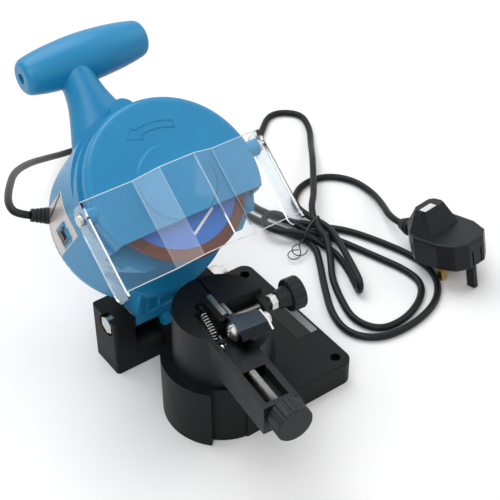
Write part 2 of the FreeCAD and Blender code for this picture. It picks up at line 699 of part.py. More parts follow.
# ================================================================ motor housing
def low_pose_notch():
    """Room that the lowered housing leaves for the turret's rear top corner, in head coordinates."""
    lean = FreeCAD.Rotation(X, -CUT_TILT)
    to_head = FreeCAD.Placement(HINGE - lean.multVec(HINGE_IN_HEAD), lean).inverse()
    wide = 3 * POT_R
    room = block(-wide, wide, -wide, TURRET_R0 + CLEAR_TURRET, -wide, TURRET_TOP + CLEAR_TURRET)
    room.Placement = to_head.multiply(room.Placement)
    return room


def pot_profile(skin):
    """Half outline of the motor housing, set in by skin from the outside."""
    r, end, bend = POT_R - skin, POT_END - skin, POT_ROUND - skin
    arc = [(end - bend + bend * math.sin(math.radians(a)), r - bend + bend * math.cos(math.radians(a)))
           for a in (0, 22.5, 45, 67.5, 90)]
    return [(COVER_BACK + (BACKPLATE_T if skin else 0), 0), (COVER_BACK + (BACKPLATE_T if skin else 0), r)] + arc + [(end, 0)]


def handle_bar():
    """Barrel-shaped T handle, thickest in the middle."""
    left, right = V(-BAR_HALF, BAR_B, BAR_V), V(BAR_HALF, BAR_B, BAR_V)
    stations = [(-1.0, BAR_END_R - 3.5), (-0.95, BAR_END_R - 0.6), (-0.88, BAR_END_R + 0.6), (-0.45, BAR_MID_R - 1.2),
                (0.0, BAR_MID_R), (0.45, BAR_MID_R - 1.2), (0.88, BAR_END_R + 0.6), (0.95, BAR_END_R - 0.6), (1.0, BAR_END_R - 3.5)]
    curve = Part.BSplineCurve()
    curve.interpolate([V(s * BAR_HALF, BAR_B, BAR_V + r) for s, r in stations])
    outline = Part.Wire([Part.makeLine(left, left + Z * stations[0][1]), curve.toShape(),
                         Part.makeLine(right + Z * stations[-1][1], right), Part.makeLine(right, left)])
    return Part.Face(outline).revolve(left, X, 360)


def oval(half_x, half_b, centre):
    major, minor = (half_x, half_b) if half_x >= half_b else (half_b, half_x)
    ellipse = Part.Ellipse(O, major, minor)
    wire = Part.Wire(ellipse.toShape())
    if half_b > half_x:
        wire.rotate(O, Z, 90)
    wire.translate(centre)
    return wire


def handle_neck():
    sections = [oval(NECK_FOOT_X + 8, NECK_FOOT_B + 6, V(NECK_X + 6, BAR_B + 12, POT_RISE + POT_R - 20)),
                oval(NECK_FOOT_X, NECK_FOOT_B, V(NECK_X + 2, BAR_B + 5, POT_RISE + POT_R - 2)),
                oval(NECK_TOP_X, NECK_TOP_B, V(NECK_X, BAR_B, BAR_V - BAR_MID_R - 8)),
                oval(NECK_TOP_X + 1, NECK_TOP_B, V(NECK_X, BAR_B, BAR_V))]
    return Part.makeLoft(sections, True, False)


def leg():
    """Ribbed leg that runs from the housing down to the hinge barrel."""
    far = HINGE_BACK
    low = -HINGE_DOWN
    side = [V(BARREL_LEFT, *leg_foot()), V(BARREL_LEFT, LEG_FRONT_B, LEG_FRONT_V), V(BARREL_LEFT, LEG_ROOT_B, LEG_ROOT_V),
            V(BARREL_LEFT, POT_END - 8, LEG_ROOT_V + 10), V(BARREL_LEFT, POT_END + 2, low + 30),
            V(BARREL_LEFT, far + BARREL_R - 1, low + 3)]
    body = prism(side, X * (BARREL_RIGHT - BARREL_LEFT))
    barrel = rod(BARREL_R, V(BARREL_LEFT, far, low), V(BARREL_RIGHT, far, low))
    return body.fuse(barrel)


def leg_foot():
    """Lower end of the leg's flat front, as (back, up)."""
    return HINGE_BACK - 6, -HINGE_DOWN - BARREL_R + 1.5


def leg_face(back):
    """Height of the leg's flat front at this distance back."""
    foot_b, foot_v = leg_foot()
    return LEG_FRONT_V + (foot_v - LEG_FRONT_V) * (back - LEG_FRONT_B) / (foot_b - LEG_FRONT_B)


def leg_flutes():
    """Hollows between the ribs on the front of the leg."""
    cuts = []
    high, low = leg_face(FLUTE_FROM), leg_face(FLUTE_TO)
    below = 4 * FLUTE_DEEP
    edges = [BARREL_LEFT + 3, BARREL_LEFT + 9, BARREL_LEFT + 20, BARREL_LEFT + 36, BARREL_RIGHT - 3]
    for x0, x1 in zip(edges, edges[1:]):
        cuts.append(prism([V(x0 + 1, FLUTE_FROM, high - below), V(x0 + 1, FLUTE_TO, low - below),
                           V(x0 + 1, FLUTE_TO, low + FLUTE_DEEP), V(x0 + 1, FLUTE_FROM, high + FLUTE_DEEP)],
                          X * (x1 - x0 - 2)))
    return cuts


def prong():
    """Tail below the barrel that meets the depth screw squarely. It hangs straight down with the head lowered."""
    tail = block(DEPTH_SCREW_X - PRONG_T / 2, DEPTH_SCREW_X + PRONG_T / 2, PRONG_BACK - PRONG_DEEP, PRONG_BACK,
                 -PRONG_REACH, 0)
    tail.translate(HINGE)
    lean = FreeCAD.Rotation(X, -CUT_TILT)
    to_head = FreeCAD.Placement(HINGE - lean.multVec(HINGE_IN_HEAD), lean).inverse()
    tail.Placement = to_head.multiply(tail.Placement)
    return tail


def switch_seat():
    """Raised flat on the left of the pot, for the rocker switch."""
    half_w, half_h = SWITCH_W / 2 + SEAT_RIM, SWITCH_H / 2 + SEAT_RIM
    return block(-SWITCH_FACE, -POT_R / 2, SWITCH_B - half_w, SWITCH_B + half_w,
                 SWITCH_V - half_h, SWITCH_V + half_h)


def switch_ramp():
    """Wedge in front of the switch that keeps a knock from pressing it."""
    foot = -POT_R + 1
    return prism([V(foot, RAMP_FROM, RAMP_V - RAMP_HALF), V(-POT_R - RAMP_HIGH, RAMP_TO, RAMP_V - RAMP_HALF),
                  V(foot, RAMP_TO, RAMP_V - RAMP_HALF)], Z * (2 * RAMP_HALF))


def vents():
    """Slots through the housing's rear corner."""
    cuts = []
    for side in (-1, 1):
        for angle in VENT_ANGLES:
            x0, x1 = sorted((side * (POT_R - VENT_DEEP), side * (POT_R + 1)))
            slot = block(x0, x1, POT_END - VENT_LONG, POT_END + 1, -VENT_W / 2, VENT_W / 2)
            slot.rotate(O, Y, -side * -angle)
            slot.translate(Z * POT_RISE)
            cuts.append(slot)
    return cuts


def gland_line():
    """Where the cord gland stands on the pot, and the way it points."""
    outward = V(-math.cos(math.radians(GLAND_ANGLE)), 0, math.sin(math.radians(GLAND_ANGLE)))
    return V(0, GLAND_B, POT_RISE) + outward * POT_R, outward


def backplate():
    """Flat front of the housing that the wheel cover's rim is screwed to."""
    plate = rod(COVER_RIM_R, Y * COVER_BACK, Y * (COVER_BACK + BACKPLATE_T))
    wide = 2 * COVER_RIM_R
    plate = plate.common(block(-wide, wide, 0, COVER_BACK + 2 * BACKPLATE_T, BACKPLATE_LOW, wide))
    lug = cover_lug_axis()
    return plate.fuse(rod(LUG_R, lug, lug + Y * LUG_BACK))


def cover_lug_axis():
    return V(LUG_X, COVER_BACK, LUG_V)


def cover_screw():
    """Headless screw from the housing's lug into the cover's, hidden in both."""
    return rod(SCREW_R, V(LUG_X, LUG_FROM + LUG_SCREW_IN, LUG_SCREW_V), V(LUG_X, COVER_BACK + LUG_BACK - 1, LUG_SCREW_V))


def shell_screws():
    """Ends of the screws that hold the two shells together: (tip, seat of the head)."""
    return [(V(SHELL_SCREW_TIP, BAR_B, BAR_V), V(BAR_HALF - BAR_HOLE_DEEP, BAR_B, BAR_V)),
            (V(SHELL_SCREW_TIP, SHELL_HIGH_B, SHELL_HIGH_V), V(SHELL_SCREW_HEAD, SHELL_HIGH_B, SHELL_HIGH_V)),
            (V(SHELL_SCREW_TIP, SHELL_LOW_B, SHELL_LOW_V), V(BARREL_RIGHT - 4, SHELL_LOW_B, SHELL_LOW_V))]


def shell_screw(tip, head):
    return rod(SCREW_R, tip, head).fuse(rod(SCREW_HEAD_R - 0.2, head, head + X * SCREW_HEAD_T))


def housing():
    middle = V(0, 0, POT_RISE)
    body = turned(pot_profile(0), middle)
    body = body.fuse([handle_neck(), handle_bar(), leg(), prong(), switch_seat(), switch_ramp(), backplate()])
    body = body.cut(low_pose_notch())
    room = turned(pot_profile(POT_SKIN), middle)
    room = room.cut(block(-POT_R, POT_R, 0, POT_END, -POT_R, -STATOR_R - 1.0))
    body = body.cut(room)
    for start, r in ((FRONT_BEARING_AT, BEARING_R), (REAR_BEARING_AT, REAR_BEARING_R)):
        back = COVER_BACK + BACKPLATE_T - EPS if start < POT_END / 2 else start
        front = start + BEARING_T if start < POT_END / 2 else POT_END - POT_SKIN + EPS
        body = body.fuse(rod(r + 3, Y * back, Y * front))
        body = body.cut(rod(r, Y * start, Y * (start + BEARING_T)))
    body = body.cut(rod(SHAFT_R + 3, Y * 0, Y * (FRONT_BEARING_AT + BEARING_T + EPS)))
    body = body.cut(rod(REAR_BEARING_R - 3, Y * (REAR_BEARING_AT - EPS), Y * (REAR_BEARING_AT + BEARING_T + 2)))
    for k in range(4):
        web = block(-2.5, 2.5, CORE_FROM + 2, CORE_TO - 2, STATOR_R, POT_R + POT_RISE)
        web.rotate(O, Y, 45 + 90 * k)
        body = body.fuse(web.common(turned(pot_profile(POT_SKIN / 2), middle).cut(low_pose_notch())))
    body = body.cut(rod(PIN_R + RUN, HINGE_IN_HEAD + X * (BARREL_LEFT - EPS), HINGE_IN_HEAD + X * (BARREL_RIGHT + EPS)))
    for cut in leg_flutes() + vents():
        body = body.cut(cut)
    body = body.cut(rod(HOLE_R, V(-POT_R, HOLE_B, HOLE_V), V(HOLE_FLOOR, HOLE_B, HOLE_V)))
    for side in (-1, 1):
        end = V(side * BAR_HALF, BAR_B, BAR_V)
        body = body.cut(rod(BAR_HOLE_R + 0.8, end + X * side, end - X * side * BAR_HOLE_DEEP))
    for tip, head in shell_screws():
        if tip.z < BAR_V - BAR_MID_R and tip.z > 0:
            body = body.fuse(rod(5.0, V(tip.x - 22, tip.y, tip.z), V(head.x + 2, tip.y, tip.z)))
        body = body.cut(shell_screw(tip, head)).cut(rod(SCREW_HEAD_R, head, head + X * 30))
    body = body.cut(cover_screw())
    body = body.cut(switch_block(-EPS, SWITCH_DEEP + EPS, 0))
    foot, outward = gland_line()
    return body.cut(rod(GLAND_R1, foot - outward * GLAND_SUNK, foot + outward * 5))


def switch_block(proud, deep, trim):
    """Box behind the switch's bezel, set in by trim."""
    half_w, half_h = SWITCH_W / 2 - SWITCH_BEZEL - trim, SWITCH_H / 2 - SWITCH_BEZEL - trim
    return block(-SWITCH_FACE + proud, -SWITCH_FACE + deep, SWITCH_B - half_w, SWITCH_B + half_w,
                 SWITCH_V - half_h, SWITCH_V + half_h)


def half(body, side):
    """One of the two shells: side -1 is the left one."""
    wide = 200
    x0, x1 = (-wide, SEAM_X) if side < 0 else (SEAM_X, wide)
    return body.common(block(x0, x1, -wide, wide, -wide, wide))


pot = housing()
save("housing_left", on_head(half(pot, -1)))


def knob_room():
    """Room in the pot's edge for the clamp knob, with the head right down and the vice swung right round."""
    spots = []
    for turn in (SWIVEL_MOST - 2.5, SWIVEL_MOST):
        start = V(CLAMP_KNOB_X - KNOB_ROOM, CLAMP_Y, CLAMP_Z)
        spot = on_vice(rod(CLAMP_KNOB_R + KNOB_ROOM, start, start + X * (CLAMP_KNOB_T + 2 * KNOB_ROOM + JAW_TRAVEL)))
        spot.rotate(O, Z, turn)
        spot.rotate(HINGE, X, -HEAD_SWING)
        spots.append(spot)
    return spots


save("housing_right", on_head(half(pot, 1)).cut(knob_room()))
save("housing_screws", on_head(Part.makeCompound([shell_screw(*ends) for ends in shell_screws()])))


# ================================================================ wheel cover
def wheel_cover():
    """Dished cover in front of the wheel, cut off straight below so that the wheel can reach the chain."""
    bend, r, face = COVER_ROUND, COVER_R, COVER_FACE
    outside = [(face - COVER_BOSS_H, 0), (face - COVER_BOSS_H, COVER_BOSS_R - 1.5), (face, COVER_BOSS_R)]
    outside += [(face + bend - bend * math.cos(math.radians(a)), r - bend + bend * math.sin(math.radians(a)))
                for a in (0, 22.5, 45, 67.5, 90)]
    outside += [(COVER_RIM_FROM, r), (COVER_RIM_FROM, COVER_RIM_R), (COVER_BACK, COVER_RIM_R)]
    t = COVER_SKIN
    inside = [(COVER_BACK, r), (COVER_RIM_FROM + t, r), (COVER_RIM_FROM + t, r - t)]
    inside += [(face + bend - (bend - t) * math.cos(math.radians(a)), r - bend + (bend - t) * math.sin(math.radians(a)))
               for a in (90, 67.5, 45, 22.5, 0)]
    inside += [(face + t, COVER_BOSS_R), (face + t - COVER_BOSS_H, COVER_BOSS_R - 1.5), (face + t - COVER_BOSS_H, 0)]
    shell = turned(outside + inside)
    lug = cover_lug_axis()
    shell = shell.fuse(rod(LUG_R, V(lug.x, LUG_FROM, lug.z), lug))
    for side in (-1, 1):
        shell = shell.fuse(rod(VISOR_BOSS_R, visor_pivot(side * (COVER_R - 4)), visor_pivot(side * VISOR_BOSS_END)))
    shell = shell.cut(turned([(COVER_FACE + t, 0), (COVER_FACE + t, r - bend), (-7, r - t), (COVER_RIM_FROM + t, r - t),
                              (COVER_RIM_FROM + t, r), (COVER_BACK, r), (COVER_BACK, 0)]))
    shell = shell.cut(block(-90, 90, -30, 30, -90, COVER_CHORD))
    shell = shell.cut(cover_screw())
    for side in (-1, 1):
        shell = shell.cut(rod(VISOR_PIN_R, visor_pivot(side * (COVER_R - 4)), visor_pivot(side * (VISOR_BOSS_END + 1))))
    return shell


def visor_pivot(x):
    return V(x, VISOR_PIVOT_B, VISOR_PIVOT_V)


save("wheel_cover", on_head(wheel_cover()))
save("cover_screw", on_head(cover_screw()))


# ================================================================ visor
def visor():
    """Clear guard folded from one sheet: a bulged middle, two flat wings and two side flanges."""
    t = VISOR_T
    shift = t * math.tan(math.atan2(VISOR_BULGE, FOLD_OUT - FOLD_IN) / 2)
    front, bulge, back = VISOR_AT, VISOR_AT - VISOR_BULGE, VISOR_AT + SIDE_DEEP
    outside = [(-VISOR_HALF, back), (-VISOR_HALF, front), (-FOLD_OUT, front), (-FOLD_IN, bulge),
               (FOLD_IN, bulge), (FOLD_OUT, front), (VISOR_HALF, front), (VISOR_HALF, back)]
    inside = [(VISOR_HALF - t, back), (VISOR_HALF - t, front + t), (FOLD_OUT - shift, front + t), (FOLD_IN - shift, bulge + t),
              (shift - FOLD_IN, bulge + t), (shift - FOLD_OUT, front + t), (t - VISOR_HALF, front + t), (t - VISOR_HALF, back)]
    sheet = prism([V(x, b, VISOR_LOW - SIDE_DROP) for x, b in outside + inside], Z * (VISOR_TOP - VISOR_LOW + SIDE_DROP))
    middle = VISOR_HALF - t
    sheet = sheet.cut(block(-middle, middle, -60, 20, VISOR_LOW - SIDE_DROP - EPS, VISOR_LOW))
    r = SIDE_ROUND
    for corner_v, away in ((VISOR_TOP, 1), (VISOR_LOW - SIDE_DROP, -1)):
        centre = V(0, back - r, corner_v - away * r)
        v0, v1 = sorted((corner_v - away * r, corner_v + away * EPS))
        corner = block(-90, 90, back - r, back + EPS, v0, v1).cut(rod(r, centre - X * 90, centre + X * 90))
        sheet = sheet.cut(corner)
    return sheet.cut(rod(VISOR_PIN_R + RUN, visor_pivot(-90), visor_pivot(90)))


def visor_screws():
    pair = []
    for side in (-1, 1):
        head = visor_pivot(side * (VISOR_HALF + SLIP))
        pair.append(rod(VISOR_PIN_R, visor_pivot(side * (COVER_R - 3)), head).fuse(
            rod(SCREW_HEAD_R + 0.6, head, visor_pivot(side * (VISOR_HALF + SLIP + SCREW_HEAD_T)))))
    return Part.makeCompound(pair)


save("visor", on_head(visor()))
save("visor_screws", on_head(visor_screws()))


# ================================================================ switch and cord gland
ROCKER_AXIS_X = -SWITCH_FACE + 0.6
ROCKER_HALF = 5.0
ROCKER_HALF_V = 2.9


def switch_frame():
    half_w, half_h = SWITCH_W / 2, SWITCH_H / 2
    bezel = block(-SWITCH_FACE - SWITCH_BEZEL, -SWITCH_FACE, SWITCH_B - half_w, SWITCH_B + half_w,
                  SWITCH_V - half_h, SWITCH_V + half_h)
    bezel = bezel.makeFillet(0.45, [e for e in bezel.Edges if e.BoundBox.XMax < -SWITCH_FACE - SWITCH_BEZEL + 1e-3])
    frame = bezel.fuse(switch_block(0, SWITCH_DEEP, 0))
    frame = frame.cut(block(-SWITCH_FACE - SWITCH_BEZEL - EPS, -SWITCH_FACE + SWITCH_DEEP - 1.5,
                            SWITCH_B - ROCKER_HALF - 0.5, SWITCH_B + ROCKER_HALF + 0.5,
                            SWITCH_V - ROCKER_HALF_V - GAP, SWITCH_V + ROCKER_HALF_V + GAP))
    pivot = V(ROCKER_AXIS_X, SWITCH_B, SWITCH_V)
    return frame.cut(rod(0.8 + RUN, pivot - Z * (ROCKER_HALF_V + 0.9), pivot + Z * (ROCKER_HALF_V + 0.9)))


def switch_rocker():
    """Rocker with its off end pressed at rest. It turns about the short way of the switch."""
    pivot = V(ROCKER_AXIS_X, SWITCH_B, SWITCH_V - ROCKER_HALF_V)
    side = [V(-2.6, -ROCKER_HALF, 0), V(-1.9, 0, 0), V(-2.6, ROCKER_HALF, 0), V(-0.6, ROCKER_HALF, 0),
            V(3.5, 3.2, 0), V(3.5, -3.2, 0), V(-0.6, -ROCKER_HALF, 0)]
    body = prism([pivot + p for p in side], Z * (2 * ROCKER_HALF_V))
    middle = V(ROCKER_AXIS_X, SWITCH_B, SWITCH_V)
    body = body.fuse(rod(0.8, middle - Z * (ROCKER_HALF_V + 0.7), middle + Z * (ROCKER_HALF_V + 0.7)))
    body.rotate(middle, Z, -ROCKER_TRAVEL / 2)
    return body


def cord_gland():
    """Ribbed strain relief where the cord enters the housing."""
    foot, outward = gland_line()
    body = cone(GLAND_R0, GLAND_R1, foot - outward, foot + outward * GLAND_LONG)
    for k in range(3):
        at = 3.2 + 3.0 * k
        r = GLAND_R0 - (GLAND_R0 - GLAND_R1) * at / GLAND_LONG - 1.1
        body = body.cut(ring(GLAND_R0 + 2, r, foot + outward * at, foot + outward * (at + 1.2)))
    body = body.cut(rod(POT_R, V(0, GLAND_B - 4 * GLAND_R0, POT_RISE), V(0, GLAND_B + 4 * GLAND_R0, POT_RISE)))
    body = body.fuse(rod(GLAND_R1 - RUN, foot - outward * GLAND_SUNK, foot + outward * 2))
    return body.cut(rod(CORD_R, foot - outward * (GLAND_SUNK + EPS), foot + outward * (GLAND_LONG + EPS)))


save("switch_frame", on_head(switch_frame()))
save("switch_rocker", on_head(switch_rocker()))
save("cord_gland", on_head(cord_gland()))


# ================================================================ vice
def turret_body():
    """Swivelling head of the vice: the turret, and the arm with the slider's channel."""
    low = DRUM_H + SLIP
    turret = cone(TURRET_R0, TURRET_R1, Z * low, Z * TURRET_TOP)
    arm = block(ARM_LEFT, ARM_RIGHT, ARM_FRONT, 0, ARM_LOW, TURRET_TOP)
    body = turret.fuse(arm)
    top = TURRET_TOP + EPS
    body = body.cut(block(SPRING_SLOT_LEFT, CHANNEL_RIGHT, ARM_FRONT + ARM_WALL, CHANNEL_REAR, CHANNEL_FLOOR, top))
    body = body.cut(block(CHANNEL_RIGHT - EPS, ARM_RIGHT + EPS, ARM_FRONT - EPS, 0, RIGHT_WALL_TOP, top))
    body = body.cut(block(SLOT_RIGHT, TURRET_R0 + 5, -TURRET_R0 - 5, POCKET_REAR, POCKET_FLOOR, top).cut(
        block(LUG_X0, LUG_X1, CLAMP_Y - 8, CLAMP_Y + 8, 0, CLAMP_Z + 6)).cut(
        block(CHANNEL_RIGHT, ARM_RIGHT, -TURRET_R0 - 6, CHANNEL_REAR, 0, RIGHT_WALL_TOP)))
    body = body.cut(block(SPRING_SLOT_LEFT, SPRING_SLOT_RIGHT, CHANNEL_REAR - EPS, SPRING_SLOT_REAR, SPRING_SLOT_FLOOR, top))
    body = body.cut(rod(4.5, V(ANCHOR_X, ANCHOR_Y, SPRING_SLOT_FLOOR), V(ANCHOR_X, ANCHOR_Y, top)))
    body = body.fuse(rod(ANCHOR_R, V(ANCHOR_X, ANCHOR_Y, SPRING_SLOT_FLOOR - 2), V(ANCHOR_X, ANCHOR_Y, TURRET_TOP - 0.6)))
    body = body.cut(block(SLOT_LEFT, SLOT_RIGHT, CHANNEL_REAR - EPS, TURRET_R0 + 5, SLOT_FLOOR, top))
    body = body.cut(block(SLOT_LEFT - JAW_T, SLOT_LEFT + EPS, JAW_FRONT, JAW_REAR, JAW_LOW, top))
    body = body.cut(rod(CLAMP_R + RUN, V(LUG_X0 - EPS, CLAMP_Y, CLAMP_Z), V(LUG_X1 + 5, CLAMP_Y, CLAMP_Z)))
    body = body.cut(rod(ADJ_R + RUN, V(ADJ_X, ARM_FRONT - EPS, ADJ_Z), V(ADJ_X, ARM_FRONT + ARM_WALL + EPS, ADJ_Z)))
    return body.cut(rod(LOCK_STUD_R + RUN, Z * (low - EPS), Z * (low + 16)))


def fixed_jaw():
    return block(SLOT_LEFT - JAW_T, SLOT_LEFT, JAW_FRONT, JAW_REAR, JAW_LOW, JAW_TOP)


def moving_jaw():
    plate = block(SLOT_RIGHT, SLOT_RIGHT + MOVING_JAW_T, JAW_FRONT, POCKET_REAR - GAP, POCKET_FLOOR + SLIP, JAW_TOP - 2)
    return plate


def clamp_screw():
    start = V(SLOT_RIGHT + MOVING_JAW_T, CLAMP_Y, CLAMP_Z)
    return rod(CLAMP_R, start, V(CLAMP_KNOB_X + CLAMP_KNOB_T - 3, CLAMP_Y, CLAMP_Z))


def clamp_nut():
    start = V(LUG_X1 + 2.5, CLAMP_Y, CLAMP_Z)
    return hexagon(5.8, start, X * 5).cut(rod(CLAMP_R, start - X * EPS, start + X * (5 + EPS)))


def clamp_knob():
    start = V(CLAMP_KNOB_X, CLAMP_Y, CLAMP_Z)
    body = knob(CLAMP_KNOB_R, CLAMP_KNOB_T, start, X, 14)
    body = body.fuse(cone(6.5, 8.5, start - X * 9, start + X * EPS))
    return body.cut(rod(CLAMP_R, start - X * 10, start + X * (CLAMP_KNOB_T - 3)))


def stop_slider():
    """Block that slides in the channel, with the lug for the chain stop and the upright stud."""
    body = block(SPRING_SLOT_LEFT + SLIP, CHANNEL_RIGHT - SLIP, SLIDER_FRONT, SLIDER_REAR, CHANNEL_FLOOR + SLIP, SLIDER_TOP)
    inner = STOP_LEFT + STOP_SHEET + GAP, STOP_RIGHT - STOP_SHEET - GAP
    lug = block(inner[0], inner[1], STOP_PIN_Y - SLIDER_LUG_R, STOP_PIN_Y + SLIDER_LUG_R, RIGHT_WALL_TOP + GAP, STOP_PIN_Z)
    lug = lug.fuse(rod(SLIDER_LUG_R, V(inner[0], STOP_PIN_Y, STOP_PIN_Z), V(inner[1], STOP_PIN_Y, STOP_PIN_Z)))
    body = body.fuse([lug, rod(STUD_R, V(STUD_X, STUD_Y, SLIDER_TOP - 4), V(STUD_X, STUD_Y, JAW_TOP))])
    body = body.cut(rod(STOP_PIN_R, V(inner[0] - 9, STOP_PIN_Y, STOP_PIN_Z), V(inner[1] + EPS, STOP_PIN_Y, STOP_PIN_Z)))
    body = body.cut(rod(STOP_HEAD_R + GAP, V(STOP_LEFT - 6, STOP_PIN_Y, STOP_PIN_Z), V(STOP_LEFT, STOP_PIN_Y, STOP_PIN_Z)))
    return body.cut(rod(ADJ_R + RUN, V(ADJ_X, SLIDER_FRONT - EPS, ADJ_Z), V(ADJ_X, SLIDER_REAR + EPS, ADJ_Z)))


def stop_pin():
    """Hinge bolt of the chain stop with its nut."""
    left, right = V(STOP_LEFT - GAP, STOP_PIN_Y, STOP_PIN_Z), V(STOP_RIGHT + GAP, STOP_PIN_Y, STOP_PIN_Z)
    return hexagon(STOP_HEAD_R, left, X * -3.4).fuse([rod(STOP_PIN_R, left, right + X * 5.2), hexagon(STOP_HEAD_R - 0.6, right, X * 4)])


def chain_stop():
    """Bent steel stirrup that hinges over the slot, with the nose that a chain tooth is drawn back against."""
    y, z = STOP_PIN_Y, STOP_PIN_Z
    left = [(-14, 1.4), (-14, 2.4), (-7, 6.5), (9.5, 6.5), (12.1, 3), (12.5, -1.5), (9, -3.5), (3, -5), (-3, -5), (-8, -1.5)]
    right = [(-14, 1.4), (-14, 2.4), (-7, 6.5), (4.5, 6.5), (5.5, 4), (5, -3), (3, -5), (-3, -5), (-8, -1.5)]
    cheek_l = prism([V(STOP_LEFT, y + a, z + b) for a, b in left], X * STOP_SHEET)
    cheek_r = prism([V(STOP_RIGHT - STOP_SHEET, y + a, z + b) for a, b in right], X * STOP_SHEET)
    roof = prism([V(STOP_LEFT, y - 7, z + 6.5 - STOP_SHEET), V(STOP_RIGHT, y - 7, z + 6.5 - STOP_SHEET),
                  V(STOP_RIGHT, y + 4.5, z + 6.5 - STOP_SHEET), V(STOP_LEFT, y + 9.5, z + 6.5 - STOP_SHEET)], Z * STOP_SHEET)
    slope = prism([V(STOP_LEFT, y - 7, z + 6.5), V(STOP_LEFT, y - 7, z + 6.5 - STOP_SHEET - 0.2),
                   V(STOP_LEFT, y - 14, z + 0.8), V(STOP_LEFT, y - 14, z + 2.4)], X * (STOP_RIGHT - STOP_LEFT))
    body = cheek_l.fuse([cheek_r, roof, slope])
    return body.cut(rod(STOP_PIN_R + RUN, V(STOP_LEFT - 1, y, z), V(STOP_RIGHT + 1, y, z)))


def slider_spring():
    """Extension spring from its anchor to the slider's stud."""
    start, end = V(ANCHOR_X - 1.2, ANCHOR_Y - 6.0, VICE_SPRING_Z), V(STUD_X + 1.0, STUD_Y + 10.0, VICE_SPRING_Z)
    line = end - start
    coil = Part.makeHelix(line.Length / VICE_SPRING_TURNS, line.Length, VICE_SPRING_R)
    section = Part.Wire(Part.makePolygon([
        V(VICE_SPRING_R + VICE_SPRING_WIRE * math.cos(a), 0, VICE_SPRING_WIRE * math.sin(a))
        for a in [math.radians(45 * k) for k in range(9)]]))
    spring = Part.Wire(coil.Edges).makePipeShell([section], True, True)
    spring.Placement = FreeCAD.Placement(start, FreeCAD.Rotation(Z, line))
    side = line.cross(Z)
    side.normalize()
    hook_a = rod(VICE_SPRING_WIRE, spring_end(spring, start), V(ANCHOR_X + ANCHOR_R + 0.6, ANCHOR_Y + 1.5, VICE_SPRING_Z))
    hook_b = rod(VICE_SPRING_WIRE, spring_end(spring, end), V(STUD_X + STUD_R + 0.7, STUD_Y - 0.5, VICE_SPRING_Z))
    return spring.fuse([hook_a, hook_b])


def spring_end(spring, near):
    """Middle of the wire at one end of a coil."""
    points = [v.Point for v in spring.Vertexes]
    points.sort(key=lambda p: (p - near).Length)
    pick = points[:8]
    total = V(0, 0, 0)
    for p in pick:
        total = total + p
    return total * (1.0 / len(pick))


def adjuster_screw():
    knob_at = ARM_FRONT - GAP
    collar = ring(ADJ_R + 2, ADJ_R, V(ADJ_X, ARM_FRONT + ARM_WALL + SLIP, ADJ_Z), V(ADJ_X, ARM_FRONT + ARM_WALL + 2, ADJ_Z))
    shaft = rod(ADJ_R, V(ADJ_X, SLIDER_FRONT + 14, ADJ_Z), V(ADJ_X, knob_at - KNOB_T + 3, ADJ_Z))
    return shaft.fuse(collar)


def adjuster_knob():
    start = V(ADJ_X, ARM_FRONT - GAP, ADJ_Z)
    return knob(KNOB_R, KNOB_T, start, -1 * Y, 14).cut(rod(ADJ_R, start + Y, start - Y * (KNOB_T - 3)))


def lock_stud():
    """Stud below the turret that its lock knob draws down."""
    return rod(LOCK_STUD_R, Z * (LOCK_KNOB_LOW + 2), Z * (DRUM_H + SLIP + 14))


def lock_knob():
    body = knob(LOCK_KNOB_R, LOCK_KNOB_T, Z * LOCK_KNOB_LOW, Z, 12, 2.4)
    body = body.fuse(rod(8.0, Z * (LOCK_KNOB_LOW + LOCK_KNOB_T - EPS), Z * (DRUM_H - DECK - PIVOT_HUB_DROP - GAP)))
    return body.cut(rod(LOCK_STUD_R, Z * (LOCK_KNOB_LOW + 2), Z * DRUM_H))


save("turret_body", on_vice(turret_body()))
save("fixed_jaw", on_vice(fixed_jaw()))
save("moving_jaw", on_vice(moving_jaw()))
save("clamp_screw", on_vice(clamp_screw()))
save("clamp_nut", on_vice(clamp_nut()))
save("clamp_knob", on_vice(clamp_knob()))
save("stop_slider", on_vice(stop_slider()))
save("stop_pin", on_vice(stop_pin()))
save("chain_stop", on_vice(chain_stop()))
save("slider_spring", on_vice(slider_spring()))
save("adjuster_screw", on_vice(adjuster_screw()))
save("adjuster_knob", on_vice(adjuster_knob()))
save("turret_lock_stud", lock_stud())
save("turret_lock_knob", lock_knob())


# ================================================================ plug
def on_plug(shape):
    """Place a shape drawn about the middle of the plug's face: X across, Y to the cord, Z to its back."""
    shape.rotate(O, X, -PLUG_TILT)
    shape.rotate(O, Z, PLUG_TURN)
    shape.translate(V(*PLUG_AT))
    return shape


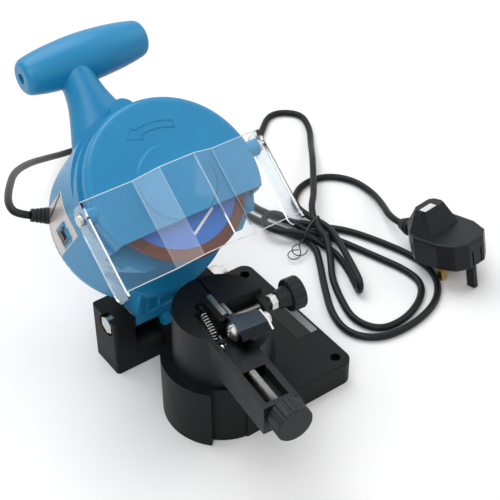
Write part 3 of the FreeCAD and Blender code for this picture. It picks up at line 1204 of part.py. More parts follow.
def plug_body():
    base = prism([V(-25, 16, 0), V(-24.5, -8, 0), V(-19, -23, 0), V(-9, -30, 0), V(9, -30, 0), V(19, -23, 0),
                  V(24.5, -8, 0), V(25, 16, 0), V(19, 25, 0), V(-19, 25, 0)], Z * PLUG_BASE_H)
    base = base.makeFillet(2.0, [e for e in base.Edges if e.BoundBox.ZMin > PLUG_BASE_H - 1e-3 or e.BoundBox.ZMax < 1e-3])
    low = [V(-9, 37, 4), V(-20, 24, 4), V(-20.5, 10, 4), V(-17, 3, 4), V(17, 3, 4), V(20.5, 10, 4), V(20, 24, 4), V(9, 37, 4)]
    mid = [V(p.x, p.y, PLUG_BASE_H) for p in low]
    top = [V(-8, 26, PLUG_H), V(-11.5, 23, PLUG_H), V(-12.5, 16, PLUG_H), V(-11, 12, PLUG_H),
           V(11, 12, PLUG_H), V(12.5, 16, PLUG_H), V(11.5, 23, PLUG_H), V(8, 26, PLUG_H)]
    hump = Part.makeLoft([Part.makePolygon(ps + [ps[0]]) for ps in (low, mid)], True, True).fuse(
        Part.makeLoft([Part.makePolygon(ps + [ps[0]]) for ps in (mid, top)], True, True))
    body = base.fuse(hump).removeSplitter()
    for x in (-5.0, 5.0):
        body = body.cut(block(x - 0.8, x + 0.8, -31, -28.4, -EPS, 15))
    for pin in pin_blocks():
        body = body.cut(pin)
    return body


def pin_blocks():
    flat = [block(side * PIN_PITCH - 3.175, side * PIN_PITCH + 3.175, -2, 2, -PIN_LONG, 6) for side in (-1, 1)]
    return flat + [block(-2, 2, -EARTH_PIN - 4, -EARTH_PIN + 4, -EARTH_LONG, 6)]


def plug_relief():
    """Ribbed strain relief at the plug's cord end."""
    mid = V(0, RELIEF_Y, RELIEF_Z)
    body = cone(RELIEF_R, 4.6, mid, mid + Y * 9).fuse(rod(RELIEF_R, V(0, 37, RELIEF_Z), mid))
    for k in range(2):
        y = RELIEF_Y - 4.4 + 4.4 * k
        body = body.cut(ring(RELIEF_R + 2, RELIEF_R - 1.6, V(0, y, RELIEF_Z), V(0, y + 1.5, RELIEF_Z)))
    return body


flat_l, flat_n, earth = pin_blocks()
save("plug_body", on_plug(plug_body()))
save("plug_relief", on_plug(plug_relief()))
save("plug_live_pin", on_plug(flat_l))
save("plug_neutral_pin", on_plug(flat_n))
save("plug_earth_pin", on_plug(earth))


# ================================================================ cord
def cord_tube(name, route):
    """Round cord along straight runs joined by tangent arcs."""
    points = [V(*p) for p in route]
    edges, at, radii = [], points[0], []
    for k in range(1, len(points) - 1):
        a, b = points[k - 1] - points[k], points[k + 1] - points[k]
        la, lb = a.Length, b.Length
        a.normalize()
        b.normalize()
        half_turn = (math.pi - a.getAngle(b)) / 2
        cut = 0.45 * min(la, lb)
        radius = cut / math.tan(half_turn)
        radii.append(radius)
        enter, leave = points[k] + a * cut, points[k] + b * cut
        inward = a + b
        inward.normalize()
        middle = points[k] + inward * (radius / math.cos(half_turn) - radius)
        edges.append(Part.LineSegment(at, enter).toShape())
        edges.append(Part.Arc(enter, middle, leave).toShape())
        at = leave
    edges.append(Part.LineSegment(at, points[-1]).toShape())
    path = Part.Wire(edges)
    first = points[1] - points[0]
    section = Part.Wire(Part.Circle(points[0], first, CORD_R).toShape())
    tube = path.makePipeShell([section], True, False)
    expected = math.pi * CORD_R ** 2 * path.Length
    print("%-12s length %6.1f  smallest radius %5.1f  volume ratio %.4f  valid %s"
          % (name, path.Length, min(radii), tube.Volume / expected, tube.isValid()))
    return tube, path.Length


def cord_hank():
    """Outer shape of the tied bundle, with the short folded loop that stands out of it."""
    plan = [V(x, y, 0) for x, y in HANK_PLAN]
    bundle = prism(plan, Z * HANK_TOP)
    bundle = bundle.makeFillet(2.5, [e for e in bundle.Edges if e.BoundBox.ZMin > HANK_TOP - 1e-3 or upright(e)])
    fold = prism([V(x, y, 0) for x, y in FOLD_PLAN], Z * HANK_TOP)
    fold = fold.makeFillet(2.2, [e for e in fold.Edges if e.BoundBox.YMax < 45 and upright(e)])
    return bundle.fuse(fold)


def tie_box(half_across, half_along, z0, z1):
    box = block(-half_along, half_along, -half_across, half_across, z0, z1)
    box.rotate(O, Z, math.degrees(math.atan2(TIE_ALONG[1], TIE_ALONG[0])))
    box.translate(V(TIE_AT[0], TIE_AT[1], 0))
    return box


def cord_tie():
    band = tie_box(TIE_HALF + 0.8, 2.0, 0, HANK_TOP - 0.2).cut(tie_box(TIE_HALF, 3, 0.8, HANK_TOP - 1))
    return band.fuse(tie_ends(0))


def tie_ends(room):
    """Twist and loop of the tie, grown by room on every side."""
    out = V(TIE_ALONG[1], -TIE_ALONG[0], 0)
    left = V(TIE_AT[0], TIE_AT[1], 3) + out * (TIE_HALF + 0.4)
    return [rod(0.9 + room, left, left + out * (7 + room)),
            Part.makeTorus(4.5, 0.6 + room, left + out * 11 + V(0, 0, -1), V(0.1, 0.2, 1))]


gland_foot, gland_outward = gland_line()
gland_tip = V(gland_foot + gland_outward * (GLAND_LONG + LEAD_GAP))
tip_shape = on_head(Part.Vertex(gland_tip))
tip = tip_shape.Point
relief_end = on_plug(Part.Vertex(V(0, RELIEF_Y + 9, RELIEF_Z))).Point

hank = cord_hank()
waist = tie_box(60, 2.2, -1, HANK_TOP + 5).cut(tie_box(TIE_HALF, 5, 0.8, HANK_TOP - 1))
total = 0.0
tubes = []
for name, route in (("cord_lead", [tuple(tip)] + LEAD_ROUTE), ("cord_outer_loop", OUTER_ROUTE), ("cord_arch", ARCH_ROUTE),
                    ("cord_inner_loop", INNER_ROUTE), ("cord_tail", TAIL_ROUTE + [tuple(relief_end)])):
    tube, length = cord_tube(name, route)
    total += length
    tubes.append((name, tube.cut(hank)))
print("gland tip", tip, "plug relief end", relief_end, "cord in tubes %.0f mm" % total)
for name, tube in tubes:
    save(name, tube)
save("cord_hank", hank.cut([waist] + tie_ends(SLIP)))
save("cord_tie", cord_tie())
print(len(saved), "pieces")
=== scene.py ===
import bpy
import bmesh
import math
from mathutils import Matrix, Vector


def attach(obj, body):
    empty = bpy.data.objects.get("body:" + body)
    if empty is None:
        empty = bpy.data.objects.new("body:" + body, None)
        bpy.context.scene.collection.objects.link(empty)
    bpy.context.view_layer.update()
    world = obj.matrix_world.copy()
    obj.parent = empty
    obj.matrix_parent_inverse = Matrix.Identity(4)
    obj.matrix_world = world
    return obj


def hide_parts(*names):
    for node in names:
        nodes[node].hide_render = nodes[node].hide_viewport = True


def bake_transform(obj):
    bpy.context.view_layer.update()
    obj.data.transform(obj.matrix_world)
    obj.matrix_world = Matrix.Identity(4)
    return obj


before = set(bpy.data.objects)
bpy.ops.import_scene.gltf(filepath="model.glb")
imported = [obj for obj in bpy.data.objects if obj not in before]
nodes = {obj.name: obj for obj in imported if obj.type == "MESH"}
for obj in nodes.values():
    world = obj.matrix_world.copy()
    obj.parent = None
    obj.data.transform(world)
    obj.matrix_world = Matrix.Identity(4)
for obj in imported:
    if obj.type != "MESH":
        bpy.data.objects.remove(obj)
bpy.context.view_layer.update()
MM = 0.001


# ---- Viewpoint
# A short telephoto from the front left, looking down on the sharpener. It stands where the whole
# machine, the loops of its lead and the plug fill the frame.
view_data = bpy.data.cameras.new("viewpoint")
view_data.lens, view_data.sensor_width = 86.4, 36.0
viewpoint = bpy.data.objects.new("viewpoint", view_data)
viewpoint.location = (-0.4299, -0.54045, 0.6658)
viewpoint.rotation_euler = (math.radians(50), 0, math.radians(-36))
bpy.context.scene.collection.objects.link(viewpoint)
bpy.context.scene.camera = viewpoint


# ---- Mains lead
# Round two-core flex of 6 mm in a black PVC sheath, extruded, so it is smooth with a soft sheen.
# It leaves the gland, runs down behind the housing and lies on the bench in two long loops and an
# arch. The rest is bunched in one hank under a twist tie, with a folded loop that sticks out of it.
LEAD_DIAMETER = 6 * MM
GLAND_TIP = (-0.1546, 0.1115, 0.1206)
LEAD_ROUTE = [
    # out of the gland, and down behind the housing to the bench
    GLAND_TIP, (-0.1633, 0.1162, 0.1230), (-0.1643, 0.1247, 0.1240),
    (-0.1588, 0.1401, 0.1200), (-0.1452, 0.1663, 0.1100), (-0.1237, 0.2059, 0.0900),
    (-0.0923, 0.2482, 0.0610), (-0.0583, 0.2861, 0.0300), (-0.0293, 0.3101, 0.0090),
    # round at the back right, and forward through the tie
    (-0.0013, 0.3161, 0.0030), (0.0347, 0.3111, 0.0030), (0.0727, 0.2991, 0.0030),
    (0.1067, 0.2801, 0.0030), (0.1267, 0.2571, 0.0030), (0.1237, 0.2341, 0.0030),
    (0.1037, 0.2122, 0.0030), (0.0807, 0.1902, 0.0030), (0.0637, 0.1681, 0.0030),
    (0.0597, 0.1421, 0.0030), (0.0657, 0.1192, 0.0032), (0.0742, 0.0992, 0.0036),
    (0.0810, 0.0822, 0.0039),
    # the outer loop at the front, and back through the tie
    (0.0812, 0.0662, 0.0036), (0.0717, 0.0491, 0.0030), (0.0557, 0.0231, 0.0030),
    (0.0387, -0.0089, 0.0030), (0.0377, -0.0348, 0.0030), (0.0577, -0.0519, 0.0030),
    (0.0917, -0.0529, 0.0030), (0.1227, -0.0428, 0.0030), (0.1427, -0.0189, 0.0030),
    (0.1427, 0.0111, 0.0030), (0.1307, 0.0451, 0.0030), (0.1197, 0.0692, 0.0030),
    (0.1067, 0.0832, 0.0036), (0.0967, 0.0952, 0.0039), (0.0847, 0.1121, 0.0033),
    # the long loop at the back, and forward over the other turns
    (0.0772, 0.1282, 0.0030), (0.0717, 0.1472, 0.0030), (0.0757, 0.1701, 0.0030),
    (0.0967, 0.1912, 0.0030), (0.1227, 0.2132, 0.0030), (0.1477, 0.2361, 0.0030),
    (0.1747, 0.2591, 0.0030), (0.1997, 0.2412, 0.0030), (0.1907, 0.2142, 0.0030),
    (0.1727, 0.1902, 0.0050), (0.1527, 0.1622, 0.0140), (0.1307, 0.1332, 0.0140),
    (0.1167, 0.1152, 0.0150), (0.1047, 0.1032, 0.0170), (0.0962, 0.0902, 0.0150),
    (0.0932, 0.0762, 0.0110), (0.0907, 0.0642, 0.0125),
    # the inner loop at the front, and back through the tie
    (0.0837, 0.0512, 0.0085), (0.0767, 0.0401, 0.0038), (0.0687, 0.0291, 0.0030),
    (0.0587, 0.0071, 0.0030), (0.0497, -0.0209, 0.0030), (0.0597, -0.0428, 0.0030),
    (0.0847, -0.0449, 0.0030), (0.1087, -0.0358, 0.0030), (0.1247, -0.0209, 0.0030),
    (0.1257, -0.0009, 0.0030), (0.1167, 0.0271, 0.0030), (0.1077, 0.0541, 0.0030),
    # a fold behind the tie, another in front of it, and back through it
    (0.0997, 0.0722, 0.0038), (0.0897, 0.0872, 0.0038), (0.0847, 0.1012, 0.0065),
    (0.0807, 0.1142, 0.0095), (0.0737, 0.1217, 0.0105), (0.0642, 0.1202, 0.0105),
    (0.0592, 0.1102, 0.0105), (0.0632, 0.0982, 0.0105), (0.0717, 0.0912, 0.0102),
    (0.0817, 0.0801, 0.0100), (0.0872, 0.0682, 0.0050), (0.0912, 0.0541, 0.0032),
    (0.0887, 0.0381, 0.0030), (0.0837, 0.0221, 0.0030), (0.0787, 0.0096, 0.0030),
    (0.0757, 0.0026, 0.0036), (0.0744, -0.0003, 0.0090), (0.0757, 0.0026, 0.0144),
    (0.0787, 0.0096, 0.0150), (0.0857, 0.0281, 0.0150), (0.0967, 0.0571, 0.0130),
    (0.1027, 0.0762, 0.0102), (0.1012, 0.0902, 0.0094),
    # the arch, and up into the plug
    (0.0997, 0.1042, 0.0080), (0.1017, 0.1202, 0.0050), (0.1097, 0.1351, 0.0030),
    (0.1297, 0.1472, 0.0030), (0.1547, 0.1442, 0.0030), (0.1707, 0.1242, 0.0030),
    (0.1717, 0.0982, 0.0040), (0.1617, 0.0722, 0.0100), (0.1502, 0.0502, 0.0156),
    (0.1500, 0.0357, 0.0185),
]


def linear(code):
    """sRGB hex, such as "2f8fc4", as the linear colour that a shader takes."""
    parts = [int(code[k:k + 2], 16) / 255 for k in (0, 2, 4)]
    return tuple(c / 12.92 if c <= 0.04045 else ((c + 0.055) / 1.055) ** 2.4
                 for c in parts) + (1.0,)


def add_node(tree, kind, inputs=(), **settings):
    """Adds one node with its settings. An input takes a plain value or the output that feeds it."""
    new = tree.nodes.new(kind)
    for key, value in settings.items():
        setattr(new, key, value)
    for key, value in dict(inputs).items():
        if isinstance(value, bpy.types.NodeSocket):
            tree.links.new(value, new.inputs[key])
        else:
            new.inputs[key].default_value = value
    return new


def new_finish(name, colour, roughness, **sockets):
    """A material with plain values on its shader, its node tree, and the place on the object."""
    finish = bpy.data.materials.new(name)
    finish.use_nodes = True
    tree = finish.node_tree
    shader = tree.nodes["Principled BSDF"]
    shader.inputs["Base Color"].default_value = linear(colour)
    shader.inputs["Roughness"].default_value = roughness
    for key, value in sockets.items():
        shader.inputs[key.replace("_", " ")].default_value = value
    return finish, tree, add_node(tree, "ShaderNodeTexCoord").outputs["Object"]


# A Mix node's sockets for its two colours and its result. Their names stand for its numbers too.
MIX_DARK, MIX_LIGHT, MIX_RESULT = 6, 7, 2


def mark(tree, pattern, colours=None, roughness=None, relief=None, strength=1.0):
    """A pattern from 0 to 1 varies a finish's colour, its roughness, and its height by relief mm."""
    shader = tree.nodes["Principled BSDF"]
    if colours:
        shade = add_node(tree, "ShaderNodeMix", {"Factor": pattern, MIX_DARK: linear(colours[0]),
                                                 MIX_LIGHT: linear(colours[1])}, data_type="RGBA")
        tree.links.new(shade.outputs[MIX_RESULT], shader.inputs["Base Color"])
    if roughness:
        shine = add_node(tree, "ShaderNodeMapRange",
                         {"Value": pattern, "To Min": roughness[0], "To Max": roughness[1]})
        tree.links.new(shine.outputs[0], shader.inputs["Roughness"])
    if relief:
        bump = add_node(tree, "ShaderNodeBump",
                        {"Height": pattern, "Distance": relief * MM, "Strength": strength})
        tree.links.new(bump.outputs[0], shader.inputs["Normal"])


# The sheath's draw marks, which are finer than they show, are drawn 4 mm apart.
pvc, tree, place = new_finish("pvc_flex_sheath_extruded", "121315", 0.36, IOR=1.53,
                              Specular_IOR_Level=0.18)
drawn = add_node(tree, "ShaderNodeTexNoise", {"Vector": place, "Scale": 1 / (4 * MM), "Detail": 3.0})
mark(tree, drawn.outputs["Fac"], ("0e0f11", "151719"), (0.34, 0.48), 0.12)


def curve_line(name, points, smooth=10):
    """The points of a smooth line through space that is pulled by its control points."""
    data = bpy.data.curves.new(name, "CURVE")
    data.dimensions = "3D"
    data.resolution_u = smooth
    spline = data.splines.new("NURBS")
    spline.points.add(len(points) - 1)
    for at, point in zip(spline.points, points):
        at.co = (*point, 1.0)
    spline.order_u = 3
    spline.use_endpoint_u = True
    holder = bpy.data.objects.new(name, data)
    line = bpy.data.meshes.new_from_object(holder)
    found = [v.co.copy() for v in line.vertices]
    bpy.data.objects.remove(holder)
    return found


def finished(name, shape, finish, smooth=True):
    """An object from a mesh or a bmesh that is already in the row frame."""
    mesh = shape
    if isinstance(shape, bmesh.types.BMesh):
        mesh = bpy.data.meshes.new(name)
        bmesh.ops.recalc_face_normals(shape, faces=shape.faces)
        shape.to_mesh(mesh)
        shape.free()
    for face in mesh.polygons:
        face.use_smooth = smooth
    thing = bpy.data.objects.new(name, mesh)
    mesh.materials.clear()
    mesh.materials.append(finish)
    bpy.context.scene.collection.objects.link(thing)
    return thing


def skin_rings(bm, rings):
    """Joins rings of equally many points into one closed skin, with a flat face at each end."""
    for one, two in zip(rings, rings[1:]):
        for k in range(len(one)):
            after = (k + 1) % len(one)
            bm.faces.new((one[k], one[after], two[after], two[k]))
    bm.faces.new(rings[0][::-1])
    bm.faces.new(rings[-1])


def sweep_tube(bm, line, radius, sides):
    """Adds a round tube with closed ends that follows a line."""
    ahead = (line[1] - line[0]).normalized()
    side = ahead.orthogonal().normalized()
    rings = []
    for k, point in enumerate(line):
        nearby = line[min(k + 1, len(line) - 1)] - line[max(k - 1, 0)]
        turn = ahead.rotation_difference(nearby.normalized())
        ahead = nearby.normalized()
        side = (turn @ side).normalized()
        across = ahead.cross(side)
        rings.append([bm.verts.new(point + radius * (math.cos(a) * side + math.sin(a) * across))
                      for a in (2 * math.pi * j / sides for j in range(sides))])
    skin_rings(bm, rings)


lead_line = curve_line("lead", LEAD_ROUTE)
bm = bmesh.new()
sweep_tube(bm, lead_line, LEAD_DIAMETER / 2, 14)
lead = finished("mains_lead", bm, pvc)
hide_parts("cord_lead", "cord_outer_loop", "cord_arch", "cord_inner_loop", "cord_tail",
            "cord_hank")
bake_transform(lead)


# ---- Twist tie
# Paper-thin green-black tie with an iron wire in it. One turn goes round the hank's waist, its ends
# are twisted together, and each is curled back in a loop.
TIE_MIDDLE = Vector((0.0897, 0.08515, 0))
ALONG = Vector((0.4, -0.9165, 0))
ACROSS = Vector((0.9165, 0.4, 0))
TIE_WIRE = 0.7 * MM
TWIST_FROM, TWIST_UP, TWIST_ALONG = -15, 8, 1             # where the twist starts, in mm
TWIST_STEP, TWIST_RADIUS, TWIST_TURN = 0.9, 0.7, 1.6     # mm outward, mm round and radians a step

# The coating creases every 1.5 mm or so.
tie_coat, tree, place = new_finish("wire_core_tie_coated", "23231f", 0.5, IOR=1.5)
creases = add_node(tree, "ShaderNodeTexNoise",
                   {"Vector": place, "Scale": 1 / (1.5 * MM), "Detail": 4.0})
mark(tree, creases.outputs["Fac"], ("1a1a17", "34342c"), relief=0.2)


def on_tie(across, up, along=0.0):
    """A point near the tie: across the hank, up from the bench and along the hank, in mm."""
    return TIE_MIDDLE + (across * ACROSS + along * ALONG) * MM + Vector((0, 0, up * MM))


waist = [(-14.6, 8, 0), (-14, 1.2, 0), (-8, 0.7, 0), (8, 0.7, 0.4), (14, 1.2, 0.6), (14.6, 8, 0.8),
         (13, 15.5, 1), (6, 17.2, 1.2), (-6, 17.2, 1.6), (-13, 15.5, 2), (-14.8, 9, 2)]
bm = bmesh.new()
sweep_tube(bm, curve_line("waist", [on_tie(*spot) for spot in waist], 6), TIE_WIRE, 8)
curls = [[(-24, 7, 2), (-28, 5, 6), (-34, 4, 8), (-40, 4, 3), (-37, 5, -3), (-30, 6, -2),
          (-26, 5, 3)],
         [(-24, 9, 0), (-29, 7, -3), (-34, 5, 2), (-31, 4, 8), (-25, 4, 10), (-20, 3, 8)]]
for start, curl in zip((0, math.pi), curls):
    twist = [(TWIST_FROM - TWIST_STEP * k,
              TWIST_UP + TWIST_RADIUS * math.cos(TWIST_TURN * k + start),
              TWIST_ALONG + TWIST_RADIUS * math.sin(TWIST_TURN * k + start)) for k in range(9)]
    strand = curve_line("strand", [on_tie(*spot) for spot in twist + curl], 6)
    sweep_tube(bm, strand, TIE_WIRE * 0.7, 8)
tie = finished("twist_tie", bm, tie_coat)
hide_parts("cord_tie")
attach(tie, "base")


# ---- Mains plug
# Three-pin plug moulded in smooth satin black thermoset: a waisted base, a raised hump with a small
# bare white sticker, a ribbed cord grip, two bare brass pins and a black earth pin. It stands on its
# pins, tipped up by the longer earth pin.
PLUG_SPOT = (239, 10, 17.66)
PLUG_TURN, PLUG_TIP = 6, -13.9
STICKER_LEFT, STICKER_RIGHT, STICKER_NEAR, STICKER_FAR = -10.5, 3, 12.9, 19.4
STICKER_CORNER = 0.8
STICKER_UNDER, STICKER_THICK = 41.95, 0.25      # its underside is 0.05 mm inside the hump's top

# The melt flowed in clouds of 9 mm, and the mould's fine skin is drawn 0.5 mm wide.
thermoset, tree, place = new_finish("plug_thermoset_moulded", "14171a", 0.36, IOR=1.5,
                                    Specular_IOR_Level=0.2)
flow = add_node(tree, "ShaderNodeTexNoise", {"Vector": place, "Scale": 1 / (9 * MM), "Detail": 2.0})
skin = add_node(tree, "ShaderNodeTexNoise",
                {"Vector": place, "Scale": 1 / (0.5 * MM), "Detail": 3.0})
mark(tree, flow.outputs["Fac"], ("111417", "181b1e"), (0.32, 0.42))
mark(tree, skin.outputs["Fac"], relief=0.02, strength=0.5)

# Soft PVC has a duller, orange-peel skin of about 1.2 mm.
relief_pvc, tree, place = new_finish("plug_relief_soft_pvc", "151618", 0.5, IOR=1.53,
                                     Specular_IOR_Level=0.25)
skin = add_node(tree, "ShaderNodeTexNoise",
                {"Vector": place, "Scale": 1 / (1.2 * MM), "Detail": 3.0})
mark(tree, skin.outputs["Fac"], roughness=(0.44, 0.58), relief=0.04, strength=0.6)

# Drawn brass: the marks of drawing run along a pin, 0.3 mm apart, and stains are about 6 mm wide.
drawn_brass, tree, place = new_finish("plug_pin_drawn_brass", "c9a45c", 0.28, Metallic=1.0)
squeeze = add_node(tree, "ShaderNodeMapping", {
    "Vector": place, "Scale": (1 / (0.3 * MM), 1 / (0.3 * MM), 1 / (12 * MM))})
marks = add_node(tree, "ShaderNodeTexNoise",
                 {"Vector": squeeze.outputs[0], "Scale": 1.0, "Detail": 3.0})
stain = add_node(tree, "ShaderNodeTexNoise", {"Vector": place, "Scale": 1 / (6 * MM), "Detail": 2.0})
mark(tree, stain.outputs["Fac"], ("b58d47", "dcbb78"))
mark(tree, marks.outputs["Fac"], roughness=(0.22, 0.38), relief=0.02, strength=0.6)

# White vinyl, handled a little: faint flecks of 2 mm.
white_sticker, tree, place = new_finish("sticker_white_vinyl", "d6d5d6", 0.4, IOR=1.46)
fleck = add_node(tree, "ShaderNodeTexNoise", {"Vector": place, "Scale": 1 / (2 * MM), "Detail": 3.0})
mark(tree, fleck.outputs["Fac"], ("cdccce", "dfdedf"), relief=0.03, strength=0.4)


def dress(finish, *names):
    """These CAD nodes keep their shape and take this finish."""
    for name in names:
        thing = nodes[name]
        for slot in thing.material_slots:
            slot.material = finish
        if not thing.material_slots:
            thing.data.materials.append(finish)


def row(x, y, z):
    """A point measured in millimetres about the drum's axis, in the frame of the bench bolts."""
    return Vector((x - 83.3, y - 28.85, z)) * MM


PLUG_PLACE = (Matrix.Translation(row(*PLUG_SPOT))
              @ Matrix.Rotation(math.radians(PLUG_TURN), 4, "Z")
              @ Matrix.Rotation(math.radians(PLUG_TIP), 4, "X"))


def on_plug(x, y, z):
    """A point of the plug: across its pins, towards its lead and up from its face, in mm."""
    return PLUG_PLACE @ Vector((x * MM, y * MM, z * MM))


def slab(bm, outline, lift):
    """Adds a thin slab: the outline's points, and the same points moved by lift."""
    low = [bm.verts.new(p) for p in outline]
    high = [bm.verts.new(p + lift) for p in outline]
    skin_rings(bm, [low, high])


dress(thermoset, "plug_body", "plug_earth_pin")
dress(relief_pvc, "plug_relief")
dress(drawn_brass, "plug_live_pin", "plug_neutral_pin")
corners = [(STICKER_LEFT + STICKER_CORNER, STICKER_NEAR + STICKER_CORNER),
           (STICKER_RIGHT - STICKER_CORNER, STICKER_NEAR + STICKER_CORNER),
           (STICKER_RIGHT - STICKER_CORNER, STICKER_FAR - STICKER_CORNER),
           (STICKER_LEFT + STICKER_CORNER, STICKER_FAR - STICKER_CORNER)]
outline = []
for k, (x, y) in enumerate(corners):
    for step in range(5):
        a = math.radians(180 + 90 * k + 22.5 * step)
        outline.append(on_plug(x + STICKER_CORNER * math.cos(a), y + STICKER_CORNER * math.sin(a),
                               STICKER_UNDER))
bm = bmesh.new()
slab(bm, outline, on_plug(0, 0, STICKER_THICK) - on_plug(0, 0, 0))
plug_sticker = finished("plug_sticker", bm, white_sticker, smooth=False)
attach(plug_sticker, "base")


# ---- Base casting
# One moulding in black glass-filled nylon: drum, mounting plate, yoke and the ledge with the degree
# scale. The glass leaves a dull skin, mottled over 14 mm, with a spark-eroded grain of 0.6 mm.
nylon, tree, place = new_finish("nylon_glass_filled_moulded", "101213", 0.5, IOR=1.53,
                                Specular_IOR_Level=0.13)
grain = add_node(tree, "ShaderNodeTexVoronoi", {"Vector": place, "Scale": 1 / (0.6 * MM)})
flow = add_node(tree, "ShaderNodeTexNoise",
                {"Vector": place, "Scale": 1 / (14 * MM), "Detail": 4.0, "Roughness": 0.6})
mark(tree, flow.outputs["Fac"], ("0e1011", "151718"), (0.42, 0.56))
mark(tree, grain.outputs["Distance"], relief=0.05, strength=0.55)
dress(nylon, "base_casting")

# The scale stands 0.3 mm proud of the ledge: a line every 5 degrees, longer every 15, and figures.
LINE_UNDER, LINE_THICK, LINE_HALF = 51.95, 0.32, 0.22
LINE_OUTER, LINE_INNER, LONG_LINE_INNER = 44.2, 41.4, 39.4       # from the drum's axis, in mm
FIGURE_RADIUS, FIGURE_BESIDE, FIGURE_MIDDLE = 42.2, 4.6, 52.1    # mm, degrees beside its line, mm
FIGURE_SIZE, FIGURE_HALF_THICK = 3.4, 0.3
bm = bmesh.new()
for degrees in range(-35, 36, 5):
    a = math.radians(180 - degrees)
    out = Vector((math.cos(a), math.sin(a), 0))
    across = Vector((-out.y, out.x, 0))
    inner = LINE_INNER if degrees % 15 else LONG_LINE_INNER
    edges = [(inner, -LINE_HALF), (LINE_OUTER, -LINE_HALF), (LINE_OUTER, LINE_HALF),
             (inner, LINE_HALF)]
    slab(bm, [row(*(out * r + across * w + Vector((0, 0, LINE_UNDER)))) for r, w in edges],
         Vector((0, 0, LINE_THICK * MM)))
scale_lines = finished("scale_lines", bm, nylon, smooth=False)
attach(scale_lines, "base")


def figure(name, words, matrix, finish):
    """A raised figure of the scale, on the plane that the matrix gives."""
    text = bpy.data.curves.new(name, "FONT")
    text.body, text.size, text.extrude = words, FIGURE_SIZE * MM, FIGURE_HALF_THICK * MM
    text.align_x, text.align_y = "CENTER", "CENTER"
    holder = bpy.data.objects.new(name, text)
    mesh = bpy.data.meshes.new_from_object(holder)
    bpy.data.objects.remove(holder)
    mesh.transform(matrix)
    return finished(name, mesh, finish, smooth=False)


for degrees in (-30, 0, 30):
    a = math.radians(180 - degrees + FIGURE_BESIDE)
    spot = row(FIGURE_RADIUS * math.cos(a), FIGURE_RADIUS * math.sin(a), FIGURE_MIDDLE)
    upright = Matrix.Translation(spot) @ Matrix.Rotation(a + math.pi / 2, 4, "Z")
    figures = figure("scale_figure_%d" % (degrees + 30), str(abs(degrees)), upright, nylon)
    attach(figures, "base")


# ---- Bare name label
# A strip of black gloss vinyl, stuck on the mounting plate beside the vice, with a plain silver band
# printed along its far side, which fades towards the back. Its own lettering is left off.
LABEL_LEFT, LABEL_RIGHT, LABEL_NEAR, LABEL_FAR = 72, 91, 2, 41
LABEL_UNDER, LABEL_THICK = 20.98, 0.17
BAND_LEFT, BAND_BLUR = 85, 0.2
band_vinyl, tree, place = new_finish("vinyl_strip_printed", "131416", 0.3, IOR=1.46,
                                     Specular_IOR_Level=0.25)
wear = add_node(tree, "ShaderNodeTexNoise", {"Vector": place, "Scale": 1 / (3 * MM), "Detail": 4.0})
ends = add_node(tree, "ShaderNodeSeparateXYZ", {"Vector": place})
printed = add_node(tree, "ShaderNodeMapRange", {
    "Value": ends.outputs["X"], "From Min": row(BAND_LEFT - BAND_BLUR, 0, 0).x,
    "From Max": row(BAND_LEFT + BAND_BLUR, 0, 0).x})
fade = add_node(tree, "ShaderNodeMapRange", {
    "Value": ends.outputs["Y"], "From Min": row(0, LABEL_NEAR, 0).y,
    "From Max": row(0, LABEL_FAR, 0).y, "To Min": 1.0, "To Max": 0.2})
band = add_node(tree, "ShaderNodeMath", {0: printed.outputs[0], 1: fade.outputs[0]},
                operation="MULTIPLY")
mark(tree, band.outputs[0], ("131416", "8f9192"))
mark(tree, wear.outputs["Fac"], roughness=(0.24, 0.4))
bm = bmesh.new()
slab(bm, [row(LABEL_LEFT, LABEL_NEAR, LABEL_UNDER), row(LABEL_RIGHT, LABEL_NEAR, LABEL_UNDER),
          row(LABEL_RIGHT, LABEL_FAR, LABEL_UNDER), row(LABEL_LEFT, LABEL_FAR, LABEL_UNDER)],
     Vector((0, 0, LABEL_THICK * MM)))
name_label = finished("name_label_bare", bm, band_vinyl, smooth=False)
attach(name_label, "base")


# ---- Hinge bolt, nut, washers and head spring
# Bright zinc-plated steel, turned and pressed. The plating clouds in patches of about 3 mm. The
# spring is wound from drawn wire, whose surface glints in spots of 0.8 mm.
zinc, tree, place = new_finish("steel_zinc_plated", "c4c5c2", 0.3, Metallic=1.0)
cloud = add_node(tree, "ShaderNodeTexNoise",
                 {"Vector": place, "Scale": 1 / (3 * MM), "Detail": 4.0, "Roughness": 0.65})
mark(tree, cloud.outputs["Fac"], ("aeb0ae", "dadad6"), (0.2, 0.42), 0.03, 0.5)
dress(zinc, "hinge_bolt", "hinge_nut", "hinge_washers")

spring_wire, tree, place = new_finish("spring_steel_drawn_wire", "b9bab8", 0.24, Metallic=1.0)
drawn = add_node(tree, "ShaderNodeTexNoise",
                 {"Vector": place, "Scale": 1 / (0.8 * MM), "Detail": 3.0})
mark(tree, drawn.outputs["Fac"], ("8f908f", "d3d3cf"), (0.16, 0.34))
dress(spring_wire, "head_spring")


# ---- Depth stop screw and its knob
# An M6 screw through the yoke's back, and a fluted black knob moulded on it. The thread's 1 mm pitch
# is drawn on the plated steel as rings along the screw, which runs front to back.
def bands(pitch):
    """The scale of a Wave node whose bands lie this many millimetres apart."""
    return math.pi / 10 / (pitch * MM)


depth_thread, tree, place = new_finish("steel_zinc_thread_front_to_back", "bfc0bd", 0.32,
                                       Metallic=1.0)
pitch = add_node(tree, "ShaderNodeTexWave", {"Vector": place, "Scale": bands(1)},
                 bands_direction="Y", wave_profile="TRI")
grease = add_node(tree, "ShaderNodeTexNoise",
                  {"Vector": place, "Scale": 1 / (4 * MM), "Detail": 3.0})
mark(tree, grease.outputs["Fac"], ("9b9c99", "d2d2ce"))
mark(tree, pitch.outputs["Fac"], relief=0.5)
dress(depth_thread, "depth_stop_screw")

